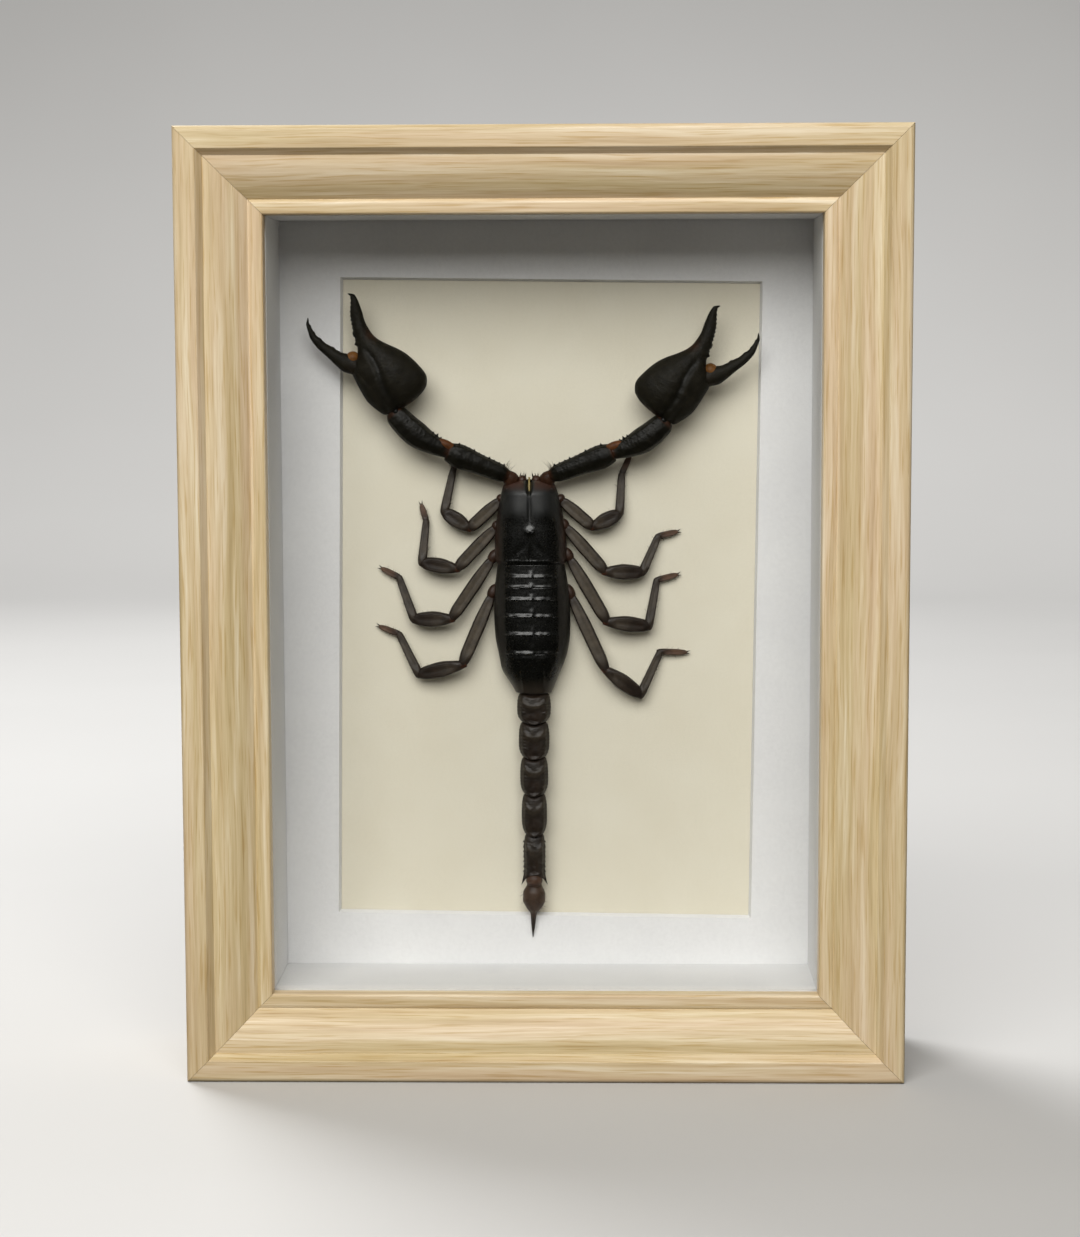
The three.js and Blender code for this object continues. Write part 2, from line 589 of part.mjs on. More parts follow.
function addArm(arm) {
  const bow = arm.side * PATELLA_BOW;
  const femur = (grow) => armSkin(arm.shoulder, arm.elbow, ARM_FEMUR, 0, grow);
  const patella = (grow) => armSkin(arm.elbow, arm.wrist, ARM_PATELLA, bow, grow);
  const hand = (grow) => [handSkin(arm, grow), fingerSkin(arm, FIXED_FINGER, grow)];
  const finger = fingerSkin(arm, MOVABLE_FINGER, 0);
  const head = [carapaceSkin(GAP), cheliceraSkin(arm.side, GAP)];
  addMesh(`arm_femur_${arm.name}`, 'black_shell', carve([femur(0)], head));
  addMesh(`arm_patella_${arm.name}`, 'black_shell', carve([patella(0)], [femur(GAP)]));
  addMesh(`claw_hand_${arm.name}`, 'black_shell', carve(hand(0), [patella(GAP)]));
  addMesh(`claw_finger_${arm.name}`, 'black_shell', carve([finger], hand(GAP)));
}

// Legs

function legSkins(joints, grow) {
  return LEG_SEGMENTS.map((stations, i) => {
    const start = place(joints[i]);
    const line = place(joints[i + 1]).sub(start);
    const points = stations.map(([share]) => start.clone().addScaledVector(line, share));
    const widths = stations.map((s) => s[1]);
    return skin(limbRings(points, widths, widths.map((w) => w * LEG_FLATNESS)), LIMB_SIDES, grow);
  });
}

function addLegs() {
  const trunk = [carapaceSkin(GAP), abdomenSkin(GAP)];
  for (const [side, legs] of Object.entries(LEGS)) {
    legs.forEach((joints, i) => {
      addMesh(`leg_${side}_${i + 1}`, 'brown_shell', carve(legSkins(joints, 0), trunk));
    });
  }
}

addFrame();
addMesh('glass', 'glass', sheetGeometry(GLASS_DEPTH, GLASS_T));
addSpacers();
addMat();
addMesh('backing_card', 'cream_card', sheetGeometry(CARD_DEPTH, CARD_T));
addBack();
addTrunk();
addTail();
ARMS.forEach(addArm);
addLegs();

export default part;
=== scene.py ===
import math
import random

import bpy
import numpy as np
from mathutils import Matrix, Vector, noise


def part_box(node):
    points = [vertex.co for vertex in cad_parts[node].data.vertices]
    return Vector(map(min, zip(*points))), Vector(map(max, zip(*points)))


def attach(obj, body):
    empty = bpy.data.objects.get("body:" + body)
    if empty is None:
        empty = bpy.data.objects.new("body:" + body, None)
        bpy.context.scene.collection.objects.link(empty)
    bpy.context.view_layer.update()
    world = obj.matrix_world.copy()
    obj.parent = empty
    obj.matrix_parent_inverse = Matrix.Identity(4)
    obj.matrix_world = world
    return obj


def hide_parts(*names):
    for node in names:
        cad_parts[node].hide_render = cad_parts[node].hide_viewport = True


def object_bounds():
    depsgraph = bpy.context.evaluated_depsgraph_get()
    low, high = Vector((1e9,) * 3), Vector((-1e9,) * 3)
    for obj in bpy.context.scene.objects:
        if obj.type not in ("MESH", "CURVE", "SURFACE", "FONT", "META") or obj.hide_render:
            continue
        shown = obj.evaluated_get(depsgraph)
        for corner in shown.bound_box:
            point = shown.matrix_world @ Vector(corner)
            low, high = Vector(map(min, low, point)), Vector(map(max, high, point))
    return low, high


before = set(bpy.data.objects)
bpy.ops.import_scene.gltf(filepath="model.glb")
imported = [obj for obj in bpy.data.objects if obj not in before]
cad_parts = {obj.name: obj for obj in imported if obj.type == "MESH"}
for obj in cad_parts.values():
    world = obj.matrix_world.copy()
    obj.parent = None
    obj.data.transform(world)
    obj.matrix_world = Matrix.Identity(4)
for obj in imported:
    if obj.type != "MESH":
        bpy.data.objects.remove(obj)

# The scene is in metres. Sizes of the object are written in millimetres and scaled by MM.
MM = 0.001
CAD_BOX = [list(corner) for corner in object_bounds()]
RANDOM = random.Random(7)

# Camera of the photograph
CAMERA_PLACE = (11.17, -586.29, 160.28)
CAMERA_FORWARD = (-0.02102, 0.99453, -0.10234)
CAMERA_UP = (0.00065, 0.10238, 0.99475)
CAMERA_LENS = 76.95
CAMERA_SENSOR = 36.0

# Studio: places in metres, power in watts, sizes in metres
KEY_AIM = (0.0, 0.0, 0.10)
KEY_DISTANCE = 1.35
KEY_ELEVATION = 34
KEY_SIDE = -8
KEY_SIZE = (1.5, 0.85)
KEY_POWER = 9.5
KEY_COLOUR = (1.0, 0.985, 0.955)
KEY_SPREAD = 110
BACKDROP_POWER = 9
BACKDROP_SIZE = (1.8, 0.8)
BACKDROP_LIFT = 1.7
BACKDROP_STEP = 0.35
BACKDROP_LEAN = 0.05
BACKDROP_SPREAD = 90
REAR_PLACE = (-0.75, 1.0, 0.95)
REAR_SIZE = (0.9, 0.9)
REAR_POWER = 3.5
REAR_SPREAD = 60
WORLD_COLOUR = (1.0, 0.95, 0.87)
WORLD_STRENGTH = 0.10
FLOOR_HALF_WIDTH = 3.5
SWEEP_START = 1.1
FRONT_SWEEP_START = -2.0
SWEEP_RADIUS = 0.6
SWEEP_TOP = 2.2
SWEEP_STEPS = 16

# Frame sizes, read from the solids
FRAME_LOW, FRAME_HIGH = [[value / MM for value in corner] for corner in CAD_BOX]
WIDTH = FRAME_HIGH[0] - FRAME_LOW[0]
HEIGHT = FRAME_HIGH[2] - FRAME_LOW[2]
DEPTH = FRAME_HIGH[1] - FRAME_LOW[1]
FRONT_Y = FRAME_LOW[1]
RAIL = (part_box("frame_left")[1].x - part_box("frame_left")[0].x) / MM
CARD_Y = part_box("backing_card")[0].y / MM

# Moulding: distances in from the outer edge, and depths behind the front plane
RABBET = 5
MITRE_GAP = 0.04
EDGE_ROUND = 1.2
BACK_ROUND = 0.5
BAND_WIDTH = 5
BAND_ROUND = 0.4
RISER_RUN = 1.2
RISER_DROP = 1.7
GROOVE_RUN = 0.4
OVOLO_END = 15.3
OVOLO_DROP = 3.8
OVOLO_STEPS = 20
QUIRK = 0.4
BEAD_RISE = 0.9
BEAD_STEPS = 5
LIP_DEPTH = 5.1
LIP_ROUND = 0.5
LIP_BACK = 9
ROUND_STEPS = 6
RAIL_STEPS = 24

# Specimen: x to the right, z up the frame, and a height out from the card
OUT = np.array([0.0, -1.0, 0.0])
TOP_SIDES = 120
BELLY_SIDES = 24
HEAD_X, HEAD_Z = -3.8, 130.0
REAR_X, REAR_Z = -2.9, 82.0
BODY_BASE = 0.1
BODY_SIDE = 2.6
BACK_FULLNESS = 0.85
# Stations down the body: z, half width, height of the back
CARAPACE = [
    (130.3, 2.4, 4.5), (129.6, 5.5, 5.4), (127.0, 6.5, 7.15), (122.0, 7.5, 7.45),
    (117.0, 8.1, 7.65), (112.6, 8.2, 7.6), (111.2, 7.6, 6.9),
]
ABDOMEN = [
    (111.3, 7.6, 8.1), (106.0, 8.3, 8.35), (99.0, 8.65, 8.5), (95.0, 8.5, 8.5),
    (91.0, 7.8, 8.1), (87.0, 6.3, 7.4), (82.0, 4.1, 6.4),
]
TERGITE_ENDS = [111.4, 108.4, 106.2, 103.3, 99.5, 95.4, 91.1, 81.9]
PLATE_TILT = 0.01
PLATE_STEP = 0.16
RIDGE_RISE = 0.33
RIDGE_LENGTH = 1.0
PLATE_HALF_WIDTH = 5.9
LEFT_SWELL = 0.75
EYE_Z = 118.9
NOTCH_END = 126.7
CHELICERA_OFFSET = 1.6
CHELICERA_SIDES = 24
# Share of the length and half width of a mouth part
CHELICERA = [(0, 0.7), (0.15, 1.15), (0.5, 1.2), (0.85, 1.0), (1, 0.5)]
# The yellow strip between the mouth parts: z and height
MOUTH_STRIP = [(130.9, 3.4), (129.2, 3.9), (127.6, 4.6), (126.5, 5.9)]

# Tail segments: front, rear, half width, middle height, half height
TAIL_X = -2.85
TAIL_SEGMENTS = [
    (81.9, 75.5, 3.75, 3.9, 3.1), (75.2, 67.4, 3.4, 3.8, 3.0), (67.1, 58.9, 3.1, 3.7, 2.9),
    (58.6, 49.6, 2.8, 3.6, 2.7), (49.3, 38.9, 2.4, 3.5, 2.4),
]
# Share of the length, share of the half width, share of the height
TAIL_BARREL = [
    (0.0, 0.80, 0.66), (0.05, 0.90, 0.80), (0.16, 0.96, 0.86), (0.34, 1.0, 0.97), (0.5, 1.01, 1.0),
    (0.7, 1.0, 1.0), (0.9, 0.90, 0.94), (1.0, 0.80, 0.78),
]
TAIL_FLARED = [
    (0.0, 0.8, 0.7), (0.06, 0.92, 0.8), (0.3, 1.0, 1.0), (0.75, 0.97, 1.0), (0.92, 1.02, 0.96),
    (1.0, 1.1, 0.86),
]
TAIL_NECK = 1.3
TAIL_SIDES = 72
TAIL_STEPS = 90
# Stations down the stinger: z, half width, half height, middle height
STINGER = [
    (38.6, 1.5, 1.5, 3.4), (37.4, 1.7, 1.6, 3.4), (35.6, 2.5, 2.2, 3.3), (33.8, 2.55, 2.3, 3.2),
    (32.0, 1.7, 1.7, 3.2), (30.7, 0.75, 0.8, 3.1), (28.0, 0.46, 0.48, 2.7), (24.9, 0.08, 0.08, 1.9),
]
STINGER_LEAN = -0.45
STINGER_SIDES = 56
STINGER_HAIRS = 26

# Arms: x, z and height of each joint, and how far the hand leans from upright
ARMS = {
    "left": dict(side=-1, lean=22.5, shoulder=(-8.8, 131.3, 4.2), elbow=(-22.2, 136.9, 6.0),
                 wrist=(-34.0, 145.6, 6.4)),
    "right": dict(side=1, lean=27.0, shoulder=(1.2, 131.3, 4.2), elbow=(15.2, 136.6, 6.0),
                  wrist=(26.8, 143.5, 6.4)),
}
# Share of the length, half width, half height
ARM_FEMUR = [(-0.02, 1.3, 1.2), (0.12, 2.0, 1.9), (0.45, 2.3, 2.2), (0.8, 2.75, 2.3), (0.99, 2.1, 1.8)]
ARM_PATELLA = [(-0.02, 1.5, 1.5), (0.25, 2.3, 2.2), (0.55, 2.95, 2.6), (0.82, 2.75, 2.4),
               (0.95, 2.5, 2.1), (1.04, 1.7, 1.5)]
PATELLA_BOW = 1.0
ARM_SIDES = 64
HAND_SIDES = 96
FINGER_SIDES = 48
# Hand with its fixed finger: distance from the wrist, outer edge, inner edge, half height
HAND = [
    (0.2, -1.9, 2.4, 1.5), (0.7, -2.5, 4.9, 2.2), (1.6, -3.1, 7.4, 3.0), (3.0, -3.9, 9.2, 3.7),
    (5.0, -4.7, 9.9, 4.2),
    (8.0, -5.1, 9.1, 4.4), (11.0, -5.3, 7.7, 4.0), (13.0, -4.3, 6.2, 3.3), (15.0, -2.6, 4.3, 2.7),
    (17.0, -1.8, 2.8, 2.2), (18.6, -1.6, 2.2, 1.8), (21.1, -1.2, 1.9, 1.6), (23.9, -0.5, 2.2, 1.3),
    (26.1, 0.5, 2.3, 0.9), (27.6, 1.05, 2.1, 0.55), (28.4, 0.7, 1.1, 0.15),
]
# Groove down the hand: distance from the wrist, place across
HAND_GROOVE = [(0.0, 1.2), (1.5, 1.2), (4.0, 0.7), (6.5, 0.45), (10.4, 0.7), (13.0, 0.4), (17.0, -0.6)]
HAND_SEAM = [(0.0, -1.0), (3.0, -1.4), (8.0, -2.6), (12.0, -3.9), (17.0, -4.5)]
# Movable finger in the hand's own frame: inward, along, half width, half height
MOVABLE_FINGER = [
    (-3.4, 11.6, 1.6, 1.5), (-4.2, 13.0, 2.0, 1.8), (-5.4, 14.2, 2.1, 1.8), (-6.5, 15.5, 1.7, 1.6),
    (-8.1, 17.9, 1.15, 1.3),
    (-9.45, 20.6, 1.0, 1.1), (-10.2, 23.1, 0.68, 0.8), (-10.2, 25.3, 0.42, 0.5), (-9.6, 26.9, 0.1, 0.1),
]

# Legs: x, z and height of hip, knee, shin, ankle and toe, first to fourth pair
LEFT_LEGS = [
    [(-9.6, 126.4, 2.6), (-17.4, 119.3, 3.2), (-23.1, 123.0, 2.4), (-21.2, 132.1, 1.1), (-19.9, 136.1, 0.9)],
    [(-10.4, 120.6, 2.6), (-20.3, 110.2, 3.8), (-28.2, 111.5, 2.8), (-27.3, 120.9, 1.2), (-28.4, 124.6, 0.9)],
    [(-11.2, 114.0, 2.6), (-21.6, 98.8, 4.0), (-30.1, 98.6, 2.8), (-33.6, 108.1, 1.2), (-37.6, 110.1, 0.9)],
    [(-11.6, 106.0, 1.8), (-19.2, 88.3, 4.0), (-29.1, 86.0, 2.8), (-33.7, 95.1, 1.2), (-38.2, 96.8, 0.9)],
]
RIGHT_LEGS = [
    [(2.6, 126.4, 2.6), (10.5, 119.6, 3.2), (16.6, 122.6, 2.4), (17.1, 131.5, 1.1), (19.0, 135.7, 0.9)],
    [(3.2, 121.0, 2.6), (13.4, 109.5, 3.8), (21.8, 109.3, 2.8), (25.4, 117.4, 1.2), (29.8, 118.4, 0.9)],
    [(4.2, 114.4, 2.6), (13.8, 98.1, 4.0), (23.2, 97.0, 2.8), (25.1, 107.4, 1.2), (29.8, 108.6, 0.9)],
    [(4.6, 106.0, 1.8), (13.5, 87.1, 4.0), (21.4, 81.3, 2.8), (25.9, 91.0, 1.2), (31.9, 90.8, 0.9)],
]
# Share of the length and half width of femur, patella, shin and foot
LEG_SEGMENTS = [
    [(0.1, 0.75), (0.2, 1.15), (0.5, 1.5), (0.85, 1.45), (1.0, 0.95), (1.04, 0.6)],
    [(-0.1, 0.7), (0.0, 0.95), (0.14, 1.3), (0.5, 1.8), (0.82, 1.55), (1.0, 1.0), (1.08, 0.6)],
    [(-0.08, 0.6), (0.0, 0.95), (0.1, 1.05), (0.5, 0.95), (0.85, 0.85), (1.0, 0.75), (1.05, 0.4)],
    [(-0.14, 0.4), (0.0, 0.62), (0.15, 0.72), (0.6, 0.7), (0.9, 0.55), (1.02, 0.25)],
]
LEG_FLATNESS = 0.85
LEG_SIDES = 40
LEG_STEPS = 60

# Shades of the shell: red, green, blue and roughness
BLACK = np.array([0.0036, 0.0036, 0.0028, 0.27])
SHEEN = np.array([0.0038, 0.0042, 0.0038, 0.48])
DULL = np.array([0.0075, 0.0060, 0.0036, 0.50])
CLAW = np.array([0.0080, 0.0066, 0.0032, 0.58])
BROWN = np.array([0.0165, 0.0115, 0.0070, 0.44])
PALE_LEG = np.array([0.057, 0.044, 0.029, 0.50])
DARK_LEG = np.array([0.0155, 0.0092, 0.0055, 0.46])
FOOT = np.array([0.090, 0.050, 0.031, 0.50])
RED = np.array([0.075, 0.022, 0.008, 0.45])
ORANGE = np.array([0.125, 0.052, 0.013, 0.45])
YELLOW = np.array([0.27, 0.205, 0.07, 0.4])
HAIR = np.array([0.05, 0.034, 0.02, 0.5])
EYE = np.array([0.02, 0.02, 0.02, 0.3])


# Helpers for shapes

def smooth(stations, column, at):
    """Monotone cubic through one column of a station table, at values of its first column."""
    table = np.array(sorted(stations), float)
    known, values = table[:, 0], table[:, column]
    step = np.diff(known)
    slope = np.diff(values) / step
    tangent = np.empty_like(values)
    tangent[0], tangent[-1] = slope[0], slope[-1]
    product = slope[:-1] * slope[1:]
    total = np.where(product > 0, slope[:-1] + slope[1:], 1)
    tangent[1:-1] = np.where(product > 0, 2 * product / total, 0)
    at = np.clip(at, known[0], known[-1])
    i = np.clip(np.searchsorted(known, at) - 1, 0, len(step) - 1)
    t = (at - known[i]) / step[i]
    rise = step[i] * (t * (1 - t) ** 2 * tangent[i] - t ** 2 * (1 - t) * tangent[i + 1])
    return values[i] + (values[i + 1] - values[i]) * t * t * (3 - 2 * t) + rise


def bump(value, centre, width):
    return np.exp(-((value - centre) / width) ** 2)


def ease(value, start, end):
    share = np.clip((value - start) / (end - start), 0, 1)
    return share * share * (3 - 2 * share)


def blend(first, second, share):
    share = np.asarray(share)[..., None]
    return first * (1 - share) + second * share


def waves(points, size, seed=0.0):
    """Soft noise of about -1 to 1 at points in millimetres."""
    flat = points.reshape(-1, 3) / size + seed
    return np.array([noise.noise(point) for point in flat]).reshape(points.shape[:-1])


def granules(points, size):
    """Small round grains, 0 between them and 1 at their tops."""
    flat = points.reshape(-1, 3) / size
    near = np.array([noise.voronoi(Vector(point))[0][0] for point in flat])
    return np.clip(1 - 2.2 * near, 0, 1).reshape(points.shape[:-1])


def place(joint):
    x, z, height = joint
    return np.array([x, CARD_Y - height, z])


class Skin:
    """Points, faces and shades of one piece, in millimetres."""

    def __init__(self):
        self.points = []
        self.shades = []
        self.faces = []
        self.count = 0

    def add(self, points, faces, shade):
        points = np.asarray(points, float).reshape(-1, 3)
        self.points.append(points)
        self.shades.append(np.broadcast_to(shade, (len(points), 4)))
        self.faces += (np.asarray(faces) + self.count).tolist()
        self.count += len(points)

    def tube(self, rows, shade):
        """Closed skin through rows of points, an array of rows, sides and 3."""
        count, sides = rows.shape[:2]
        shade = np.broadcast_to(shade, rows.shape[:2] + (4,))
        points = np.concatenate([rows.reshape(-1, 3), [rows[0].mean(0), rows[-1].mean(0)]])
        shades = np.concatenate([shade.reshape(-1, 4), [shade[0].mean(0), shade[-1].mean(0)]])
        start = np.arange(count - 1)[:, None] * sides
        side = np.arange(sides)
        after = (side + 1) % sides
        quads = np.stack([start + side, start + after, start + after + sides, start + side + sides], -1)
        quads = quads.reshape(-1, 4)
        first, last = count * sides, count * sides + 1
        end = (count - 1) * sides
        caps = np.concatenate([
            np.stack([np.full(sides, first), after, side], -1),
            np.stack([np.full(sides, last), end + side, end + after], -1),
        ])
        corners = points[quads]
        volume = np.einsum("ij,ij->", corners[:, 0], np.cross(corners[:, 1], corners[:, 2]))
        volume += np.einsum("ij,ij->", corners[:, 0], np.cross(corners[:, 2], corners[:, 3]))
        if volume < 0:
            quads, caps = quads[:, ::-1], caps[:, ::-1]
        self.add(points, quads, shades)
        self.faces += (caps + self.count - len(points)).tolist()

    def spike(self, base, tip, radius, shade, bend=0.0, sides=5, steps=4):
        """A tapered, slightly bent hair, tooth or claw."""
        base, tip = np.asarray(base, float), np.asarray(tip, float)
        share = np.linspace(0, 1, steps)
        line = tip - base
        drop = np.array([0, bend, 0]) * np.linalg.norm(line)
        points = base + share[:, None] * line + (share * share)[:, None] * drop
        reach = radius * (1 - share * 0.97)
        self.tube(limb_rows(points, reach, reach, reach, sides), shade)

    def build(self, name, nodes, slot, finish):
        mesh = bpy.data.meshes.new(name)
        mesh.from_pydata(np.concatenate(self.points) * MM, [], self.faces)
        layer = mesh.attributes.new("shade", "FLOAT_COLOR", "POINT")
        layer.data.foreach_set("color", np.concatenate(self.shades).astype(np.float32).ravel())
        mesh.polygons.foreach_set("use_smooth", [True] * len(mesh.polygons))
        mesh.materials.append(finish)
        mesh.update()
        return add_piece(name, mesh, nodes)


def add_piece(name, mesh, nodes):
    piece = bpy.data.objects.new(name, mesh)
    bpy.context.scene.collection.objects.link(piece)
    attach(piece, "root")
    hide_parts(*nodes)
    return piece


def limb_rows(points, left, right, top, sides, squareness=1.0, relief=None):
    """Rows of points round a limb that follows some points, with its reach to each side and up."""
    points = np.asarray(points, float)
    along = np.gradient(points, axis=0)
    along /= np.linalg.norm(along, axis=1, keepdims=True)
    across = np.cross(along, OUT)
    across /= np.linalg.norm(across, axis=1, keepdims=True)
    up = np.cross(across, along)
    angle = np.linspace(0, 2 * math.pi, sides, endpoint=False)
    cos = np.sign(np.cos(angle)) * np.abs(np.cos(angle)) ** squareness
    sin = np.sign(np.sin(angle)) * np.abs(np.sin(angle)) ** squareness
    side = np.where(cos > 0, np.outer(right, cos), np.outer(left, cos))
    height = np.outer(top, sin)
    if relief is not None:
        height = height + relief(cos, sin)
    return points[:, None] + side[..., None] * across[:, None] + height[..., None] * up[:, None]


# Trunk

def body_x(z):
    return HEAD_X + (HEAD_Z - z) / (HEAD_Z - REAR_Z) * (REAR_X - HEAD_X)


def trunk_rows(z, half_width, back, relief):
    top = np.linspace(0, math.pi, TOP_SIDES, endpoint=False)
    belly = np.linspace(math.pi, 2 * math.pi, BELLY_SIDES, endpoint=False)
    angle = np.concatenate([top, belly])
    up = np.maximum(np.sin(angle), 0)
    z = z[:, None] + 0 * angle
    side = np.outer(half_width, np.cos(angle))
    height = BODY_SIDE + np.outer(back - BODY_SIDE, up ** BACK_FULLNESS)
    height = height + (BODY_SIDE - BODY_BASE) * np.minimum(np.sin(angle), 0)
    height = height + relief(side, z) * np.minimum(1, 3 * up)
    return np.stack([body_x(z) + side, CARD_Y - height, z], -1), side, z


def carapace_relief(side, z):
    width = np.abs(side)
    lobes = 0.2 * bump(width, 3.0, 1.9) * bump(z, 123.4, 2.3)
    furrow = -0.3 * bump(side, 0, 0.45) * (bump(z, 124.0, 3.4) + 0.8 * bump(z, 113.5, 2.4))
    mound = 0.4 * bump(side, 0, 0.85) * bump(z, EYE_Z, 0.8)
    rear_groove = -0.12 * bump(width - 0.9 * (116.8 - z), 0.6, 0.9) * bump(z, 114.2, 1.9)
    rear_edge = 0.25 * ease(z, 112.6, 111.9)
    notch_width = 0.2 + 0.5 * np.clip((z - NOTCH_END) / 3.4, 0, 1)
    notch = -2.4 * ease(z, NOTCH_END, NOTCH_END + 1.4) * bump(side, 0, notch_width)
    return lobes + furrow + mound + rear_groove + rear_edge + notch


def make_carapace(finish):
    z = np.linspace(CARAPACE[0][0], CARAPACE[-1][0], 120)
    rows, side, z = trunk_rows(z, smooth(CARAPACE, 1, z), smooth(CARAPACE, 2, z), carapace_relief)
    grain = granules(rows, 0.55)
    coarse = np.clip(ease(np.abs(side), 4.2, 6.5) + ease(z, 115.5, 113.0), 0, 1)
    rows[..., 1] -= 0.09 * grain * coarse * (rows[..., 1] < CARD_Y - BODY_SIDE)
    shade = blend(BLACK, DULL, 0.8 * coarse * ease(np.abs(side), 5.5, 7.5))
    shade = blend(shade, SHEEN, ease(z, 121.0, 124.5))
    shade = blend(shade, RED, 0.42 * ease(z, 127.4, 129.4) * ease(np.abs(side), 0.8, 1.6))
    shade = blend(shade, RED, 0.22 * ease(np.abs(side), 6.2, 7.8))
    skin = Skin()
    skin.tube(rows, shade)
    for way in (-1, 1):
        add_eye(skin, way * 0.5, EYE_Z, 0.36, 7.75)
        for step in range(3):
            add_eye(skin, way * (5.0 + 0.3 * step), 128.3 - 0.55 * step, 0.2, 5.0 - 0.15 * step)
    x = body_x(HEAD_Z)
    line = [place((x, at, height)) for at, height in MOUTH_STRIP]
    reach = np.array([0.22, 0.26, 0.2, 0.05])
    skin.tube(limb_rows(line, reach, reach, reach, 8), YELLOW)
    skin.build("carapace_shell", ["carapace"], "black_shell", finish)


def add_eye(skin, side, z, radius, height):
    share = np.linspace(-0.98, 0.98, 9)
    points = [place((body_x(z) + side, z + radius * s, height)) for s in share]
    reach = radius * np.sqrt(1 - share * share)
    skin.tube(limb_rows(points, reach, reach, reach, 14), EYE)


def abdomen_relief(side, z):
    width = np.abs(side)
    on_plate = 1 - 0.85 * ease(width, PLATE_HALF_WIDTH - 0.9, PLATE_HALF_WIDTH + 0.7)
    lift = np.zeros_like(z)
    for i, (front, rear) in enumerate(zip(TERGITE_ENDS, TERGITE_ENDS[1:])):
        inside = (z <= front) & (z > rear)
        share = (front - z) / (front - rear)
        left = z - rear
        if i == len(TERGITE_ENDS) - 2:
            keels = 0.22 * bump(width, 2.2, 0.35) * bump(share, 0.55, 0.3)
            plate = -PLATE_STEP * (1 - ease(share, 0, 0.12)) + keels
        else:
            uneven = 0.85 + 0.35 * np.sin(1.9 * side + 2.1 * i) * np.cos(0.8 * side - i)
            broken = (1 - 0.7 * bump(side, 0.7, 0.6)) * (1 - 0.35 * ease(side, 0.5, 2.5))
            run = min(RIDGE_LENGTH, 0.34 * (front - rear))
            ridge = RIDGE_RISE * run * uneven * broken * ease(left, run, 0.1)
            edge = -0.3 * (1 - np.clip(left / 0.14, 0, 1)) ** 2
            plate = -PLATE_STEP - PLATE_TILT * left + ridge + edge
            plate = plate + 0.16 * bump(side, 0, 0.5) * ease(share, 0.35, 0.8)
        lift = np.where(inside, plate, lift)
    fold = -0.12 * bump(width, PLATE_HALF_WIDTH + 0.5, 0.7)
    return lift * on_plate + fold


def make_abdomen(finish):
    z = np.linspace(ABDOMEN[0][0], ABDOMEN[-1][0], 300)
    rows, side, z = trunk_rows(z, smooth(ABDOMEN, 1, z), smooth(ABDOMEN, 2, z), abdomen_relief)
    rows[..., 0] += LEFT_SWELL * bump(z, 86.6, 2.6) * np.minimum(side, 0) / 6
    flank = ease(np.abs(side), PLATE_HALF_WIDTH - 0.2, PLATE_HALF_WIDTH + 0.8)
    on_back = rows[..., 1] < CARD_Y - BODY_SIDE
    rows[..., 1] -= 0.02 * waves(rows, 0.9) * on_back
    rows[..., 1] -= 0.05 * granules(rows, 0.6) * flank * on_back
    shade = blend(BLACK, DULL, flank)
    shade = blend(shade, BROWN, ease(z, 86.0, 82.5))
    skin = Skin()
    skin.tube(rows, shade)
    skin.build("abdomen_shell", ["abdomen"], "black_shell", finish)


def make_chelicerae(finish):
    for name, way in (("left", -1), ("right", 1)):
        skin = Skin()
        z = np.linspace(126.9, 131.3, 24)
        share = (z - z[0]) / (z[-1] - z[0])
        points = [place((body_x(at) + way * CHELICERA_OFFSET, at, 3.1)) for at in z]
        reach = smooth(CHELICERA, 1, share)
        shade = blend(BROWN, RED, 0.5 * share[:, None] + np.zeros(CHELICERA_SIDES))
        skin.tube(limb_rows(points, reach, reach, reach, CHELICERA_SIDES), shade)
        for k in range(3):
            x = body_x(131) + way * (CHELICERA_OFFSET - 0.7 + 0.6 * k)
            skin.spike(place((x, 130.8, 3.2)), place((x - way * 0.2, 131.9, 2.9)), 0.24, DARK_LEG)
        for _ in range(6):
            x = body_x(131) + way * RANDOM.uniform(0.7, 2.8)
            z_tip = 131 + RANDOM.uniform(0.9, 1.9)
            skin.spike(place((x, 130.6, 3.6)), place((x + RANDOM.uniform(-0.5, 0.5), z_tip, 4.2)), 0.05, HAIR)
        skin.build(f"chelicera_{name}_shell", [f"chelicera_{name}"], "brown_shell", finish)


# Tail

def tail_rows(segment, profile, is_last):
    front, rear, half_width, mid, half_height = segment
    share = np.linspace(0, 1, TAIL_STEPS)
    angle = np.linspace(0, 2 * math.pi, TAIL_SIDES, endpoint=False)
    cos, sin = np.cos(angle), np.sin(angle)
    from_top = np.abs(np.angle(np.exp(1j * (angle - math.pi / 2))))
    width = half_width * smooth(profile, 1, share)
    height = half_height * smooth(profile, 2, share)
    beads = 1 + 0.5 * np.sin(2 * math.pi * share * (front - rear) / 0.75)[:, None]
    middle = (ease(share, 0.03, 0.2) * ease(share, 1.0, 0.85))[:, None]
    furrow = -0.85 * bump(from_top, 0, 0.42) * (ease(share, 0.12, 0.5) * ease(share, 1.0, 0.88))[:, None]
    keels = sum(0.13 * bump(from_top, at, 0.14) for at in (0.78, 1.35, 2.2)) * beads * middle
    crest = share[:, None] - 0.36 + 0.26 * cos * cos
    saddle = 0.34 * bump(crest, 0, 0.09) * np.maximum(sin, 0) ** 0.5 * middle
    swell = 1 + (furrow + keels + saddle) / half_height
    side = np.outer(width, cos) * (1 + keels / half_width)
    up = np.outer(height, sin) * swell
    bow = np.maximum(sin, 0) * (1 - cos * cos)
    arc = -0.7 * np.ones_like(share) if not is_last else -0.7 + 1.7 * ease(share, 0.5, 1.0)
    z = (front + share * (rear - front))[:, None] + arc[:, None] * bow
    return np.stack([TAIL_X + side, CARD_Y - mid - up, z], -1), share, from_top, saddle


